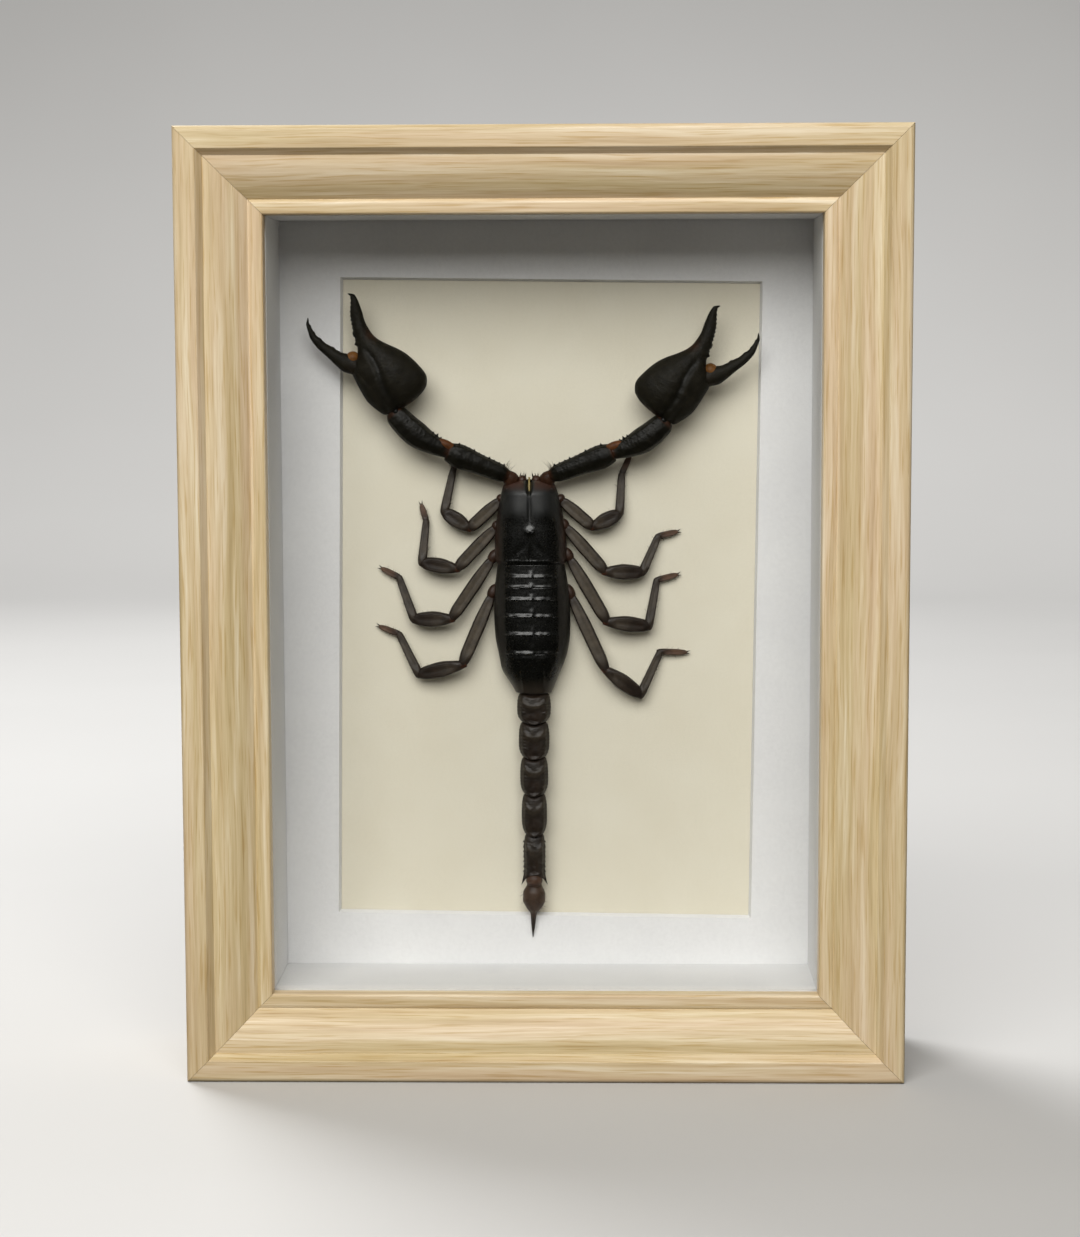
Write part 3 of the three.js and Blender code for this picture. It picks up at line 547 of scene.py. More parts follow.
def make_tail(finish):
    for i, segment in enumerate(TAIL_SEGMENTS):
        is_last = i == len(TAIL_SEGMENTS) - 1
        profile = TAIL_FLARED if is_last else TAIL_BARREL
        rows, share, from_top, saddle = tail_rows(segment, profile, is_last)
        rows[..., 1] -= 0.1 * granules(rows, 0.6) * (rows[..., 1] < CARD_Y - segment[3])
        rows[..., 1] -= 0.07 * waves(rows, 1.1)
        ends = np.maximum(ease(share, 0.12, 0.0), ease(share, 0.9, 1.0))[:, None]
        # Painted shade: the middle of the back is darker in the rear half of each segment, where the furrow
        # dips.
        painted_trough_shade = bump(from_top, 0, 0.5) * ease(share, 0.4, 0.6)[:, None]
        shade = blend(BROWN, DARK_LEG, np.clip(ends + painted_trough_shade, 0, 1))
        # Painted highlight: the saddle crest near the front of each segment is lighter.
        shade = blend(shade, PALE_LEG, np.clip(1.1 * saddle, 0, 0.45))
        skin = Skin()
        skin.tube(rows, shade)
        front, _, half_width, mid, half_height = segment
        neck = [place((TAIL_X, front + step, mid)) for step in (TAIL_NECK, 0.5, 0.0, -0.8)]
        reach = half_width * np.array([0.5, 0.62, 0.66, 0.6])
        skin.tube(limb_rows(neck, reach, reach, reach * half_height / half_width, 24), DARK_LEG)
        if is_last:
            add_tail_teeth(skin, segment)
        skin.build(f"tail_segment_{i + 1}_shell", [f"tail_segment_{i + 1}"], "brown_shell", finish)
    make_stinger(finish)


def add_tail_teeth(skin, segment):
    front, rear, half_width, mid, _ = segment
    for way in (-1, 1):
        for k in range(7):
            z = front - 1.6 - 1.15 * k
            x = TAIL_X + way * half_width * 0.97
            tip = place((x + way * 0.35, z - 0.35, mid + 0.6))
            skin.spike(place((x, z, mid + 0.5)), tip, 0.24, DARK_LEG)
        corner = TAIL_X + way * half_width * 0.85
        tip = place((corner + way * 0.95, rear - 1.4, mid + 0.3))
        skin.spike(place((corner, rear + 0.8, mid + 0.4)), tip, 0.5, BROWN, steps=6, sides=8)


def make_stinger(finish):
    skin = Skin()
    z = np.linspace(STINGER[0][0], STINGER[-1][0], 110)
    share = (z[0] - z) / (z[0] - z[-1])
    mid = smooth(STINGER, 3, z)
    points = np.stack([TAIL_X + STINGER_LEAN * share, CARD_Y - mid, z], -1)
    half_width, half_height = smooth(STINGER, 1, z), smooth(STINGER, 2, z)
    rows = limb_rows(points, half_width, half_width, half_height, STINGER_SIDES)
    bulb = (ease(z, 31.5, 33.5) * ease(z, 38.4, 37.0))[:, None]
    centre = points[:, None]
    rows = centre + (rows - centre) * (1 + 0.035 * granules(rows, 0.7) * bulb)[..., None]
    tip = ease(z, 31.5, 29.0)[:, None] + np.zeros(STINGER_SIDES)
    skin.tube(rows, blend(blend(BROWN, FOOT, 0.45), DARK_LEG, tip))
    lobe = np.linspace(-0.99, 0.99, 24)
    dome = [place((TAIL_X - 0.05, 38.7 - 1.7 * at, 4.3)) for at in lobe]
    round_off = np.sqrt(1 - lobe * lobe)
    dome_rows = limb_rows(dome, 1.9 * round_off, 1.9 * round_off, 1.75 * round_off, 32)
    skin.tube(dome_rows, blend(blend(BROWN, FOOT, 0.5), RED, 0.15))
    for _ in range(STINGER_HAIRS):
        at = RANDOM.uniform(31.8, 37.2)
        turn = RANDOM.uniform(0.1, math.pi - 0.1)
        reach = np.interp(at, z[::-1], half_width[::-1])
        foot = place((TAIL_X - 0.2 + 0.95 * reach * math.cos(turn), at, 3.2 + 0.9 * reach * math.sin(turn)))
        way = np.array([math.cos(turn), -0.7 * math.sin(turn), -RANDOM.uniform(0.2, 0.9)])
        skin.spike(foot, foot + way * RANDOM.uniform(0.9, 1.9), 0.05, HAIR)
    skin.build("stinger_shell", ["stinger"], "brown_shell", finish)


# Arms and claws

def arm_line(start, end, share, bow):
    line = end - start
    across = np.cross(line, OUT)
    across /= np.linalg.norm(across)
    points = start + share[:, None] * line + bow * np.sin(math.pi * share)[:, None] * across
    return points, across


def make_arm_segment(start, end, stations, bow, teeth):
    start, end = place(start), place(end)
    share = np.linspace(stations[0][0], stations[-1][0], 90)
    points, across = arm_line(start, end, share, bow)
    upward = 1 if across[2] > 0 else -1
    half_width, half_height = smooth(stations, 1, share), smooth(stations, 2, share)

    def relief(cos, sin):
        keel = 0.2 * bump(np.abs(cos), 0.72, 0.1) + 0.14 * bump(np.abs(cos), 0.12, 0.08)
        body = (ease(share, 0.02, 0.15) * ease(share, 0.99, 0.88))[:, None]
        return keel * np.maximum(sin, 0) * body

    rows = limb_rows(points, half_width, half_width, half_height, ARM_SIDES, 0.82, relief)
    rows[..., 1] -= 0.14 * granules(rows, 0.7) + 0.1 * waves(rows, 1.4)
    front = np.cos(np.linspace(0, 2 * math.pi, ARM_SIDES, endpoint=False)) * upward
    ends = np.maximum(ease(share, 0.06, -0.02), ease(share, 0.95, 1.0))
    shade = blend(blend(BLACK, CLAW, 0.5), RED, np.outer(ends, 0.35 + 0.3 * front))
    skin = Skin()
    skin.tube(rows, shade)
    for at, size in teeth:
        i = int(np.argmin(np.abs(share - at)))
        edge = points[i] + across * upward * half_width[i] * 0.9 + OUT * half_height[i] * 0.35
        tip = edge + across * upward * (0.35 + size) + OUT * 0.25 * size
        skin.spike(edge, tip, 0.34 + 0.3 * size, BLACK, sides=7)
    return skin, points, across * upward


def make_arm(name, arm, finish):
    side = arm["side"]
    femur_teeth = [(0.1 + 0.085 * k, 0.12 + 0.18 * (k % 3 == 0)) for k in range(10)]
    skin, points, upward = make_arm_segment(
        arm["shoulder"], arm["elbow"], ARM_FEMUR, 0, femur_teeth)
    for k in range(9):
        foot = points[2 + k] + upward * RANDOM.uniform(0.8, 1.6) + OUT
        way = upward * RANDOM.uniform(0.6, 1.0) + np.array([-side * RANDOM.uniform(-0.2, 0.5), -0.4, 0])
        skin.spike(foot, foot + way * RANDOM.uniform(1.6, 2.9), 0.07, HAIR)
    inner = points[0] + np.array([-side * 1.6, 0.9, -1.5])
    share = np.linspace(0, 1, 12)
    base = inner + share[:, None] * (points[4] - inner)
    reach = np.interp(share, [0, 0.1, 0.5, 0.9, 1], [0.9, 1.6, 1.8, 1.5, 0.8])
    skin.tube(limb_rows(base, reach, reach, reach * 0.85, 28), blend(BROWN, RED, 0.35))
    skin.build(f"arm_femur_{name}_shell", [f"arm_femur_{name}"], "black_shell", finish)

    patella_teeth = [(0.2, 0.3), (0.27, 0.45), (0.34, 0.2)]
    skin, points, upward = make_arm_segment(
        arm["elbow"], arm["wrist"], ARM_PATELLA, side * PATELLA_BOW, patella_teeth)
    middle = points[8] + upward * 1.35 + OUT * 0.8
    line = points[14] - points[2]
    line /= np.linalg.norm(line)
    share = np.linspace(-0.98, 0.98, 14)
    reach = np.sqrt(1 - share * share)
    skin.tube(limb_rows(middle + 2.4 * share[:, None] * line, 1.05 * reach, 1.05 * reach, reach, 20),
              blend(RED, ORANGE, 0.35))
    skin.build(f"arm_patella_{name}_shell", [f"arm_patella_{name}"], "black_shell", finish)


def hand_point(arm, inward, along, height=0.0):
    lean = math.radians(arm["lean"])
    x, z, middle = arm["wrist"]
    out_x = arm["side"] * (np.sin(lean) * along - np.cos(lean) * inward)
    up_z = np.cos(lean) * along + np.sin(lean) * inward
    return np.stack(np.broadcast_arrays(x + out_x, CARD_Y - middle - height, z + up_z), -1)


def make_hand(name, arm, finish):
    along = np.concatenate([np.linspace(0.2, 3, 34), np.linspace(3, 28.4, 150)[1:]])
    outer, inner, half_height = (smooth(HAND, column, along) for column in (1, 2, 3))
    angle = np.linspace(0, 2 * math.pi, HAND_SIDES, endpoint=False)
    cos, sin = np.cos(angle), np.sin(angle)
    middle = (outer + inner) / 2
    inward = middle[:, None] + np.outer((inner - outer) / 2, cos)
    height = np.outer(half_height, np.sign(sin) * np.abs(sin) ** 0.9)
    groove = smooth(HAND_GROOVE, 1, along)[:, None]
    seam = smooth(HAND_SEAM, 1, along)[:, None]
    on_hand = (ease(along, 17.5, 13.0))[:, None]
    dorsal = np.maximum(sin, 0) ** 0.5
    height = height - 0.4 * bump(inward, groove, 0.7) * on_hand * dorsal
    height = height + 0.2 * bump(inward, groove - 1.2, 0.7) * on_hand * dorsal
    height = height + 0.35 * bump(inward, groove + 3.2, 2.2) * on_hand * dorsal
    height = height - 0.3 * bump(inward, seam, 0.5) * on_hand * dorsal
    jags = 0.2 * np.maximum(0, np.sin(along * 2 * math.pi / 0.9)) * ease(along, 17, 18)
    teeth = 0.5 * bump(along, 17.4, 0.45) + 0.35 * bump(along, 19.6, 0.4) + jags
    inward = inward - teeth[:, None] * np.maximum(-cos, 0) ** 2 * ease(along, 28, 27)[:, None]
    rows = hand_point(arm, inward, along[:, None] + 0 * cos, height)
    grain = granules(rows, 0.42)
    rows[..., 1] -= (0.16 * grain + 0.12 * waves(rows, 1.6)) * np.sign(sin)
    # Painted shade darkens the hand along its groove, which is also made glossier.
    shade = blend(CLAW, BLACK, bump(inward, groove, 0.8) * on_hand * 0.6)
    reddened = 0.3 * (ease(along, 1.6, 0.4) + bump(along, 18, 1.4))[:, None] * np.maximum(cos, 0)
    shade = blend(shade, RED, reddened)
    skin = Skin()
    skin.tube(rows, shade)
    cap = [hand_point(arm, *at, 1.3) for at in ((0.3, -0.8), (0.5, -0.1), (0.8, 0.7))]
    reach = np.array([0.5, 0.9, 0.6])
    skin.tube(limb_rows(cap, reach, reach, np.array([0.5, 0.8, 0.6]), 16), BLACK)
    skin.build(f"claw_hand_{name}_shell", [f"claw_hand_{name}"], "black_shell", finish)


def make_finger(name, arm, finish):
    table = np.array(MOVABLE_FINGER)
    knot = np.linspace(0, 1, len(table))
    share = np.linspace(0, 1, 110)
    inward, along, half_width, half_height = (
        smooth(np.stack([knot, table[:, column]], -1).tolist(), 1, share) for column in range(4))
    points = hand_point(arm, inward, along)
    tooth = 0.4 * bump(share, 0.5, 0.03) + 0.12 * np.maximum(0, np.sin(share * 60)) * ease(share, 0.3, 0.4)
    biting = half_width + tooth * ease(share, 0.97, 0.9)
    left, right = (half_width, biting) if arm["side"] < 0 else (biting, half_width)
    rows = limb_rows(points, left, right, half_height, FINGER_SIDES, 0.9)
    rows[..., 1] -= 0.04 * granules(rows, 0.45)
    skin = Skin()
    skin.tube(rows, blend(CLAW, BROWN, 0.4 * ease(share, 0.35, 0.1)[:, None] + np.zeros(FINGER_SIDES)))
    lobe = np.linspace(-0.98, 0.98, 16)
    reach = np.sqrt(1 - lobe * lobe)
    web = hand_point(arm, -3.9 + 1.5 * lobe, 14.7 + 0.8 * lobe, 0.1)
    skin.tube(limb_rows(web, 1.6 * reach, 1.6 * reach, 1.6 * reach, 20), ORANGE)
    skin.build(f"claw_finger_{name}_shell", [f"claw_finger_{name}"], "black_shell", finish)


# Legs

def leg_shade(index, share, cos):
    # The sides of each segment (rim) stay darker than its middle: painted shade where the sides turn from the
    # light.
    rim = ease(np.abs(cos), 0.55, 0.85)
    if index == 0:
        middle = np.outer(ease(share, 0.12, 0.3) * ease(share, 1.0, 0.8), 1 - rim)
        return blend(DARK_LEG, PALE_LEG, middle)
    if index == 1:
        middle = np.outer(bump(share, 0.3, 0.25), 1 - rim)
        shade = blend(DARK_LEG, PALE_LEG, 0.45 * middle)
        return blend(shade, RED, np.outer(ease(share, 0.06, -0.06), 0.6 + 0 * rim))
    if index == 2:
        return blend(DARK_LEG, PALE_LEG, np.outer(0.7 * bump(share, 0.5, 0.5), 1 - rim))
    return blend(DARK_LEG, FOOT, np.outer(ease(share, 0, 0.5), 1 - 0.4 * rim))


def make_leg(name, joints, finish):
    skin = Skin()
    joints = [place(joint) for joint in joints]
    cos = np.cos(np.linspace(0, 2 * math.pi, LEG_SIDES, endpoint=False))
    for i, stations in enumerate(LEG_SEGMENTS):
        start, end = joints[i], joints[i + 1]
        share = np.linspace(stations[0][0], stations[-1][0], LEG_STEPS)
        points, across = arm_line(start, end, share, 0)
        half_width = smooth(stations, 1, share)
        body = (ease(share, 0.05, 0.25) * ease(share, 1.0, 0.8))[:, None]

        def relief(cos, sin):
            rim = 0.17 * bump(np.abs(cos), 0.8, 0.12) - 0.22 * bump(cos, 0, 0.55)
            return rim * half_width[:, None] * np.maximum(sin, 0) * body

        rows = limb_rows(points, half_width, half_width, half_width * LEG_FLATNESS, LEG_SIDES, 0.88, relief)
        rows[..., 1] -= 0.035 * granules(rows, 0.5)
        skin.tube(rows, leg_shade(i, share, cos))
        for _ in range(2 + 2 * i):
            row = RANDOM.randrange(8, 52)
            way = RANDOM.choice((-1, 1))
            foot = points[row] + way * across * half_width[row] * 0.9
            tip = foot + way * across * RANDOM.uniform(0.4, 0.9) + (end - start) * 0.05 + OUT * 0.3
            skin.spike(foot, tip, 0.045, HAIR)
    add_hip(skin, joints)
    add_toe(skin, joints)
    skin.build(f"{name}_shell", [name], "brown_shell", finish)


def add_hip(skin, joints):
    hip, knee = joints[0], joints[1]
    line = knee - hip
    inner = np.array([body_x(hip[2]), CARD_Y - 1.9, hip[2] + 1.2])
    share = np.linspace(0, 1, 16)
    coxa = inner + share[:, None] * (hip - inner)
    reach = np.interp(share, [0, 0.5, 0.9, 1], [1.4, 1.7, 1.5, 0.9])
    skin.tube(limb_rows(coxa, reach, reach, reach * 0.85, 24), blend(BROWN, RED, 0.25))
    lobe = np.linspace(-0.98, 0.98, 18)
    round_off = np.sqrt(1 - lobe * lobe)
    knob = hip + (0.07 + 0.1 * lobe)[:, None] * line
    reach = 1.25 * round_off
    skin.tube(limb_rows(knob, reach, reach, 1.1 * round_off, 24), blend(DARK_LEG, RED, 0.2))


def add_toe(skin, joints):
    ankle, toe = joints[3], joints[4]
    line = (toe - ankle) / np.linalg.norm(toe - ankle)
    across = np.cross(line, OUT)
    for way in (-1, 1):
        tip = toe + 0.95 * line + way * 0.45 * across - 0.25 * OUT
        skin.spike(toe - 0.1 * line + way * 0.12 * across, tip, 0.2, DARK_LEG, sides=7, steps=6)


# Frame

def moulding_outline():
    """Outline of the rail: distance in from the outer edge, depth behind the front."""
    points = []

    def corner(centre, radius, start, end):
        for k in range(ROUND_STEPS + 1):
            turn = math.radians(start + (end - start) * k / ROUND_STEPS)
            points.append((centre[0] + radius * math.cos(turn), centre[1] + radius * math.sin(turn)))

    corner((BACK_ROUND, DEPTH - BACK_ROUND), BACK_ROUND, 90, 180)
    corner((EDGE_ROUND, EDGE_ROUND), EDGE_ROUND, 180, 270)
    corner((BAND_WIDTH - BAND_ROUND, BAND_ROUND), BAND_ROUND, 270, 330)
    points.append((BAND_WIDTH + RISER_RUN, RISER_DROP))
    start = BAND_WIDTH + RISER_RUN + GROOVE_RUN
    for k in range(OVOLO_STEPS + 1):
        share = k / OVOLO_STEPS
        points.append((start + share * (OVOLO_END - start), RISER_DROP + OVOLO_DROP * share * share))
    for k in range(BEAD_STEPS + 1):
        share = k / BEAD_STEPS
        points.append((OVOLO_END + 0.05 + share * BEAD_RISE, LIP_DEPTH + QUIRK * (1 - share) ** 2))
    corner((RAIL - LIP_ROUND, LIP_DEPTH + LIP_ROUND), LIP_ROUND, 270, 360)
    points.append((RAIL, LIP_BACK))
    points.append((RAIL - RABBET, LIP_BACK))
    corner((RAIL - RABBET - BACK_ROUND, DEPTH - BACK_ROUND), BACK_ROUND, 0, 90)
    return points


def make_rail(name, length, reach, turn, seed, finish):
    outline = moulding_outline()
    count = len(outline)
    run = np.concatenate([[0], np.cumsum(np.linalg.norm(np.diff(outline, axis=0), axis=1))])
    points = []
    grain = []
    for k in range(RAIL_STEPS + 1):
        share = 1 - 2 * k / RAIL_STEPS
        for (across, behind), along_outline in zip(outline, run):
            x = share * (length / 2 - across - MITRE_GAP)
            points.append((x, FRONT_Y + behind, across - reach))
            grain.append((x + 400 * seed, along_outline + 90 * seed))
    faces = []
    for k in range(RAIL_STEPS):
        for i in range(count):
            a, b = k * count + i, k * count + (i + 1) % count
            faces.append((a, a + count, b + count, b))
    faces.append(tuple(range(count)))
    faces.append(tuple(range(RAIL_STEPS * count, (RAIL_STEPS + 1) * count))[::-1])
    turned = np.array(points) @ np.array(Matrix.Rotation(turn, 3, "Y")).T + [0, 0, HEIGHT / 2]
    mesh = bpy.data.meshes.new(name)
    mesh.from_pydata(turned * MM, [], faces)
    layer = mesh.uv_layers.new(name="grain")
    corners = np.array([grain[loop.vertex_index] for loop in mesh.loops]) * MM
    layer.data.foreach_set("uv", corners.ravel())
    mesh.polygons.foreach_set("use_smooth", [True] * len(mesh.polygons))
    mesh.set_sharp_from_angle(angle=math.radians(32))
    mesh.materials.append(finish)
    mesh.validate()
    mesh.update()
    add_piece(name, mesh, [name.replace("_rail", "")])


def make_frame(finish):
    half_turn = math.pi
    make_rail("frame_bottom_rail", WIDTH, HEIGHT / 2, 0, 1, finish)
    make_rail("frame_right_rail", HEIGHT, WIDTH / 2, -half_turn / 2, 2, finish)
    make_rail("frame_top_rail", WIDTH, HEIGHT / 2, half_turn, 3, finish)
    make_rail("frame_left_rail", HEIGHT, WIDTH / 2, half_turn / 2, 4, finish)


def make_tab(node, finish):
    """A flat steel point: a blade with a rounded end and a stamped rib."""
    low, high = (np.array(corner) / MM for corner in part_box(node))
    middle = (low + high) / 2
    size = high - low
    upright = size[2] > size[0]
    length, width = (size[2], size[0]) if upright else (size[0], size[2])
    inward = -np.sign(middle[2] - HEIGHT / 2) if upright else -np.sign(middle[0])
    along = np.array([0, 0, inward]) if upright else np.array([inward, 0, 0])
    across = np.cross(along, [0, 1, 0])
    steps, sides = 28, 15
    top = []
    for k in range(steps):
        at = k / (steps - 1)
        half = width / 2 * math.sqrt(max(0.0, 1 - max(0.0, (at - 0.68) / 0.33) ** 2))
        for j in range(sides):
            over = 2 * j / (sides - 1) - 1
            rib = -0.22 * math.exp(-(over / 0.25) ** 2) * math.sin(math.pi * at)
            top.append(middle + along * length * (at - 0.5) + across * half * over + np.array([0, rib, 0]))
    top = np.array(top)
    thick = np.array([0, size[1] / 2 - 0.12, 0])
    points = np.concatenate([top + thick, top - thick])
    below = steps * sides
    faces = []
    for k in range(steps - 1):
        for j in range(sides - 1):
            a = k * sides + j
            quad = (a, a + 1, a + sides + 1, a + sides)
            faces.append(quad)
            faces.append(tuple(i + below for i in quad[::-1]))
    rim = list(range(sides))
    rim += [k * sides + sides - 1 for k in range(1, steps)]
    rim += [(steps - 1) * sides + j for j in range(sides - 2, -1, -1)]
    rim += [k * sides for k in range(steps - 2, 0, -1)]
    for first, second in zip(rim, rim[1:] + rim[:1]):
        faces.append((second, first, first + below, second + below))
    mesh = bpy.data.meshes.new(node + "_point")
    mesh.from_pydata(points * MM, [], faces)
    mesh.polygons.foreach_set("use_smooth", [True] * len(mesh.polygons))
    mesh.set_sharp_from_angle(angle=math.radians(40))
    mesh.materials.append(finish)
    mesh.update()
    add_piece(node + "_point", mesh, [node])


def dress(node, finish, bevel):
    """Gives one of the solids its finish and softens its edges."""
    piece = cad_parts[node]
    piece.data.materials.clear()
    piece.data.materials.append(finish)
    rounding = piece.modifiers.new("edges", "BEVEL")
    rounding.width = bevel * MM
    rounding.segments = 2
    rounding.limit_method = "ANGLE"
    return piece


# Helpers for finishes

def new_finish(name):
    made = bpy.data.materials.new(name)
    made.use_nodes = True
    return made, made.node_tree, made.node_tree.nodes["Principled BSDF"]


def node(tree, kind, inputs=None, **settings):
    made = tree.nodes.new(kind)
    for key, value in settings.items():
        setattr(made, key, value)
    for key, value in (inputs or {}).items():
        if isinstance(value, bpy.types.NodeSocket):
            tree.links.new(value, made.inputs[key])
        else:
            made.inputs[key].default_value = value
    return made


def scaled(tree, source, scale):
    return node(tree, "ShaderNodeMapping", {"Vector": source, "Scale": scale}).outputs[0]


def noise_of(tree, vector, scale, detail=4.0, roughness=0.55):
    inputs = {"Vector": vector, "Scale": scale, "Detail": detail, "Roughness": roughness}
    return node(tree, "ShaderNodeTexNoise", inputs).outputs["Fac"]


def ramp(tree, factor, stops):
    made = node(tree, "ShaderNodeValToRGB", {"Fac": factor})
    elements = made.color_ramp.elements
    while len(elements) < len(stops):
        elements.new(0.5)
    for element, (position, colour) in zip(elements, stops):
        element.position = position
        element.color = colour if len(colour) == 4 else (*colour, 1)
    return made.outputs["Color"]


def grey_ramp(tree, factor, stops):
    return ramp(tree, factor, [(position, (level, level, level)) for position, level in stops])


def mix(tree, mode, factor, first, second):
    made = node(tree, "ShaderNodeMix", data_type="RGBA", blend_type=mode)
    for index, value in ((0, factor), (6, first), (7, second)):
        if isinstance(value, bpy.types.NodeSocket):
            tree.links.new(value, made.inputs[index])
        else:
            made.inputs[index].default_value = value
    return made.outputs[2]


def maths(tree, operation, first, second):
    return node(tree, "ShaderNodeMath", {0: first, 1: second}, operation=operation).outputs[0]


def bumped(tree, shader, height, strength, distance):
    made = node(tree, "ShaderNodeBump", {"Height": height, "Strength": strength, "Distance": distance * MM})
    tree.links.new(made.outputs["Normal"], shader.inputs["Normal"])


# Finishes

def wood_finish():
    made, tree, shader = new_finish("pale_wood")
    grain = node(tree, "ShaderNodeUVMap", uv_map="grain").outputs[0]
    sway = noise_of(tree, scaled(tree, grain, (14, 60, 1)), 1.0, 2.0, 0.5)
    sway = node(tree, "ShaderNodeCombineXYZ", {"Y": maths(tree, "MULTIPLY", sway, 0.003)}).outputs[0]
    grain = node(tree, "ShaderNodeVectorMath", {0: grain, 1: sway}, operation="ADD").outputs[0]
    streaks = noise_of(tree, scaled(tree, grain, (15, 560, 1)), 1.0, 5.0, 0.66)
    bands = noise_of(tree, scaled(tree, grain, (7, 150, 1)), 1.0, 3.0, 0.55)
    pores = noise_of(tree, scaled(tree, grain, (70, 2300, 1)), 1.0, 2.0, 0.5)
    tan = ramp(tree, streaks, [
        (0.3, (0.50, 0.375, 0.185)), (0.45, (0.615, 0.48, 0.26)), (0.56, (0.70, 0.565, 0.335)),
        (0.7, (0.84, 0.735, 0.53)),
    ])
    rose = ramp(tree, streaks, [
        (0.3, (0.56, 0.40, 0.235)), (0.48, (0.69, 0.525, 0.33)), (0.68, (0.84, 0.71, 0.52)),
    ])
    colour = mix(tree, "MIX", grey_ramp(tree, bands, [(0.38, 0.0), (0.62, 1.0)]), tan, rose)
    dashes = ramp(tree, pores, [(0.32, (0.82, 0.73, 0.56)), (0.46, (1.0, 1.0, 1.0))])
    colour = mix(tree, "MULTIPLY", 0.9, colour, dashes)
    tree.links.new(colour, shader.inputs["Base Color"])
    tree.links.new(grey_ramp(tree, streaks, [(0.3, 0.5), (0.7, 0.38)]), shader.inputs["Roughness"])
    bumped(tree, shader, maths(tree, "ADD", pores, streaks), 0.25, 0.05)
    return made


def paper_finish(name, pale, dark, fibre):
    made, tree, shader = new_finish(name)
    source = node(tree, "ShaderNodeTexCoord").outputs["Object"]
    mottle = noise_of(tree, source, 60.0, 5.0, 0.6)
    fibres = noise_of(tree, source, fibre, 3.0, 0.6)
    colour = ramp(tree, mottle, [(0.3, dark), (0.7, pale)])
    flecks = grey_ramp(tree, fibres, [(0.35, 0.95), (0.6, 1.0)])
    tree.links.new(mix(tree, "MULTIPLY", 1.0, colour, flecks), shader.inputs["Base Color"])
    tree.links.new(grey_ramp(tree, fibres, [(0.3, 0.92), (0.7, 0.8)]), shader.inputs["Roughness"])
    shader.inputs["Specular IOR Level"].default_value = 0.25
    bumped(tree, shader, fibres, 0.04, 0.03)
    return made


def board_finish():
    made, tree, shader = new_finish("brown_board")
    source = node(tree, "ShaderNodeTexCoord").outputs["Object"]
    mottle = noise_of(tree, source, 90.0, 6.0, 0.65)
    fibres = noise_of(tree, scaled(tree, source, (700, 700, 2200)), 1.0, 4.0, 0.7)
    colour = ramp(tree, mottle, [(0.3, (0.15, 0.082, 0.036)), (0.7, (0.27, 0.16, 0.075))])
    flecks = grey_ramp(tree, fibres, [(0.35, 0.7), (0.65, 1.15)])
    tree.links.new(mix(tree, "MULTIPLY", 1.0, colour, flecks), shader.inputs["Base Color"])
    tree.links.new(grey_ramp(tree, fibres, [(0.3, 0.75), (0.7, 0.55)]), shader.inputs["Roughness"])
    bumped(tree, shader, fibres, 0.3, 0.05)
    return made


def steel_finish():
    made, tree, shader = new_finish("plated_steel")
    source = node(tree, "ShaderNodeTexCoord").outputs["Object"]
    spangle = node(tree, "ShaderNodeTexVoronoi", {"Vector": source, "Scale": 700.0}).outputs["Color"]
    brushed = noise_of(tree, scaled(tree, source, (400, 400, 6000)), 1.0, 3.0, 0.6)
    grey = node(tree, "ShaderNodeRGBToBW", {"Color": spangle}).outputs[0]
    colour = ramp(tree, grey, [(0.2, (0.42, 0.42, 0.41)), (0.8, (0.62, 0.62, 0.60))])
    tree.links.new(colour, shader.inputs["Base Color"])
    tree.links.new(grey_ramp(tree, brushed, [(0.3, 0.28), (0.7, 0.46)]), shader.inputs["Roughness"])
    shader.inputs["Metallic"].default_value = 1.0
    bumped(tree, shader, brushed, 0.15, 0.02)
    return made


def glass_finish():
    made, _, shader = new_finish("clear_glass")
    shader.inputs["Base Color"].default_value = (0.985, 0.995, 0.99, 1)
    shader.inputs["Roughness"].default_value = 0.0
    shader.inputs["IOR"].default_value = 1.5
    shader.inputs["Transmission Weight"].default_value = 1.0
    shader.inputs["Specular IOR Level"].default_value = 0.12
    return made


def shell_finish(name, grain_size, relief, gloss):
    """Dried shell: the shade attribute holds the colour and the roughness."""
    made, tree, shader = new_finish(name)
    shade = node(tree, "ShaderNodeAttribute", attribute_name="shade")
    source = node(tree, "ShaderNodeTexCoord").outputs["Object"]
    mottle = noise_of(tree, source, 650.0, 5.0, 0.6)
    dust = noise_of(tree, source, 2600.0, 4.0, 0.6)
    pits = node(tree, "ShaderNodeTexVoronoi", {"Vector": source, "Scale": grain_size}).outputs["Distance"]
    tone = grey_ramp(tree, mottle, [(0.3, 0.62), (0.7, 1.3)])
    tree.links.new(mix(tree, "MULTIPLY", 1.0, shade.outputs["Color"], tone), shader.inputs["Base Color"])
    worn = grey_ramp(tree, dust, [(0.3, 0.75), (0.7, 1.3)])
    tree.links.new(maths(tree, "MULTIPLY", shade.outputs["Alpha"], worn), shader.inputs["Roughness"])
    shader.inputs["Specular IOR Level"].default_value = gloss
    bumped(tree, shader, maths(tree, "ADD", pits, dust), relief, 0.05)
    return made


def floor_finish():
    made, tree, shader = new_finish("pale_floor")
    source = node(tree, "ShaderNodeTexCoord").outputs["Object"]
    mottle = noise_of(tree, source, 3.0, 3.0, 0.5)
    tree.links.new(ramp(tree, mottle, [(0.3, (0.58, 0.575, 0.565)), (0.7, (0.61, 0.605, 0.595))]),
                   shader.inputs["Base Color"])
    shader.inputs["Roughness"].default_value = 0.75
    shader.inputs["Specular IOR Level"].default_value = 0.2
    return made


# Studio

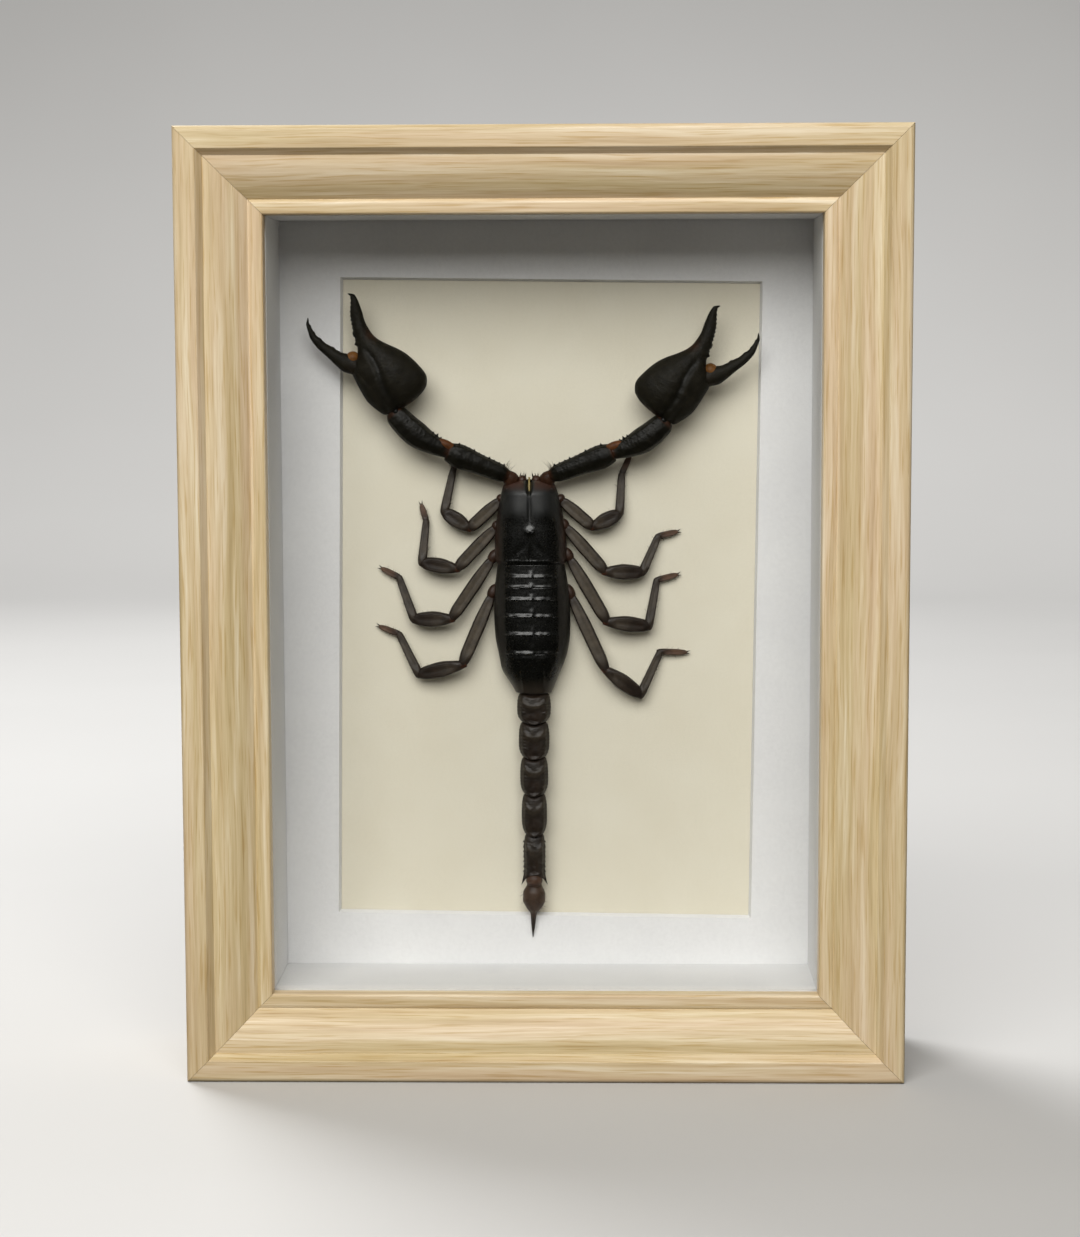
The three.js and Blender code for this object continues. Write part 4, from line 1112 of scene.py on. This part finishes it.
def add_stage(name, start, sweep_start, way, finish):
    """A floor that sweeps up into a wall, so no corner shows behind the object."""
    profile = [(start, 0.0), (sweep_start, 0.0)]
    for k in range(1, SWEEP_STEPS + 1):
        turn = math.pi / 2 * k / SWEEP_STEPS
        run, rise = SWEEP_RADIUS * math.sin(turn), SWEEP_RADIUS * (1 - math.cos(turn))
        profile.append((sweep_start + way * run, rise))
    profile.append((sweep_start + way * SWEEP_RADIUS, SWEEP_TOP))
    points = [(x, y, z) for y, z in profile for x in (-FLOOR_HALF_WIDTH, FLOOR_HALF_WIDTH)]
    faces = [(2 * i, 2 * i + 1, 2 * i + 3, 2 * i + 2) for i in range(len(profile) - 1)]
    mesh = bpy.data.meshes.new(name)
    mesh.from_pydata(points, [], faces)
    mesh.polygons.foreach_set("use_smooth", [True] * len(mesh.polygons))
    mesh.materials.append(finish)
    stage = bpy.data.objects.new(name, mesh)
    bpy.context.scene.collection.objects.link(stage)
    stage.visible_glossy = False
    stage.visible_diffuse = False


def make_stage(finish):
    add_stage("floor", FRONT_SWEEP_START, SWEEP_START, 1, finish)
    add_stage("front_sweep", FRONT_SWEEP_START, FRONT_SWEEP_START, -1, finish)


def add_light(name, place_at, aim, size, power, colour=(1, 1, 1), spread=180):
    data = bpy.data.lights.new(name, "AREA")
    data.shape = "RECTANGLE"
    data.size, data.size_y = size
    data.energy = power
    data.color = colour
    data.spread = math.radians(spread)
    light = bpy.data.objects.new(name, data)
    light.location = place_at
    light.rotation_euler = (Vector(aim) - Vector(place_at)).to_track_quat("-Z", "Y").to_euler()
    bpy.context.scene.collection.objects.link(light)


def make_studio():
    lift, turn = math.radians(KEY_ELEVATION), math.radians(KEY_SIDE)
    way = Vector((math.sin(turn) * math.cos(lift), -math.cos(turn) * math.cos(lift), math.sin(lift)))
    start = Vector(KEY_AIM) + KEY_DISTANCE * way
    add_light("key", start, KEY_AIM, KEY_SIZE, KEY_POWER, KEY_COLOUR, KEY_SPREAD)
    for name, wall, way in (("backdrop", SWEEP_START, 1), ("front_backdrop", FRONT_SWEEP_START, -1)):
        start = (0, wall - way * BACKDROP_STEP, BACKDROP_LIFT)
        aim = (0, wall + way * BACKDROP_LEAN, 0)
        add_light(f"{name}_light", start, aim, BACKDROP_SIZE, BACKDROP_POWER, spread=BACKDROP_SPREAD)
    add_light("rear_fill", REAR_PLACE, KEY_AIM, REAR_SIZE, REAR_POWER, spread=REAR_SPREAD)
    world = bpy.data.worlds.new("studio")
    world.use_nodes = True
    background = world.node_tree.nodes["Background"]
    background.inputs["Color"].default_value = (*WORLD_COLOUR, 1)
    background.inputs["Strength"].default_value = WORLD_STRENGTH
    world.cycles_visibility.glossy = False
    bpy.context.scene.world = world
    bpy.context.scene.view_settings.view_transform = "Standard"


def make_camera():
    data = bpy.data.cameras.new("camera")
    data.sensor_fit = "VERTICAL"
    data.sensor_height = CAMERA_SENSOR
    data.lens = CAMERA_LENS
    camera = bpy.data.objects.new("camera", data)
    forward, up = Vector(CAMERA_FORWARD).normalized(), Vector(CAMERA_UP).normalized()
    right = forward.cross(up).normalized()
    turn = Matrix((right, right.cross(forward), -forward)).transposed()
    camera.matrix_world = Matrix.Translation(Vector(CAMERA_PLACE) * MM) @ turn.to_4x4()
    bpy.context.scene.collection.objects.link(camera)
    bpy.context.scene.camera = camera


def make_box():
    white = paper_finish("white_paper", (0.80, 0.80, 0.80), (0.76, 0.76, 0.765), 1500.0)
    cream = paper_finish("cream_paper", (0.775, 0.735, 0.61), (0.745, 0.70, 0.57), 1800.0)
    steel = steel_finish()
    for name in ("spacer_bottom", "spacer_top", "spacer_left", "spacer_right"):
        dress(name, white, 0.3)
    dress("mat_board", white, 0.08)
    dress("backing_card", cream, 0.2)
    dress("back_board", board_finish(), 0.3)
    for name in ("hanger", "hanger_nail_left", "hanger_nail_right"):
        dress(name, steel, 0.12)
    for name in ("tab_bottom_1", "tab_top_1", "tab_left_1", "tab_left_2", "tab_right_1", "tab_right_2"):
        make_tab(name, steel)
    pane = dress("glass", glass_finish(), 0.2)
    pane.visible_shadow = False
    pane.visible_diffuse = False
    pane.visible_glossy = False


def make_specimen():
    black = shell_finish("black_shell", 3800.0, 0.02, 0.5)
    claw = shell_finish("claw_shell", 2600.0, 0.8, 0.15)
    brown = shell_finish("brown_shell", 3000.0, 0.4, 0.3)
    make_carapace(black)
    make_abdomen(black)
    make_chelicerae(brown)
    make_tail(brown)
    for name, arm in ARMS.items():
        make_arm(name, arm, claw)
        make_hand(name, arm, claw)
        make_finger(name, arm, claw)
    for side, legs in (("left", LEFT_LEGS), ("right", RIGHT_LEGS)):
        for i, joints in enumerate(legs):
            make_leg(f"leg_{side}_{i + 1}", joints, brown)


make_camera()
make_studio()
make_stage(floor_finish())
make_frame(wood_finish())
make_box()
make_specimen()
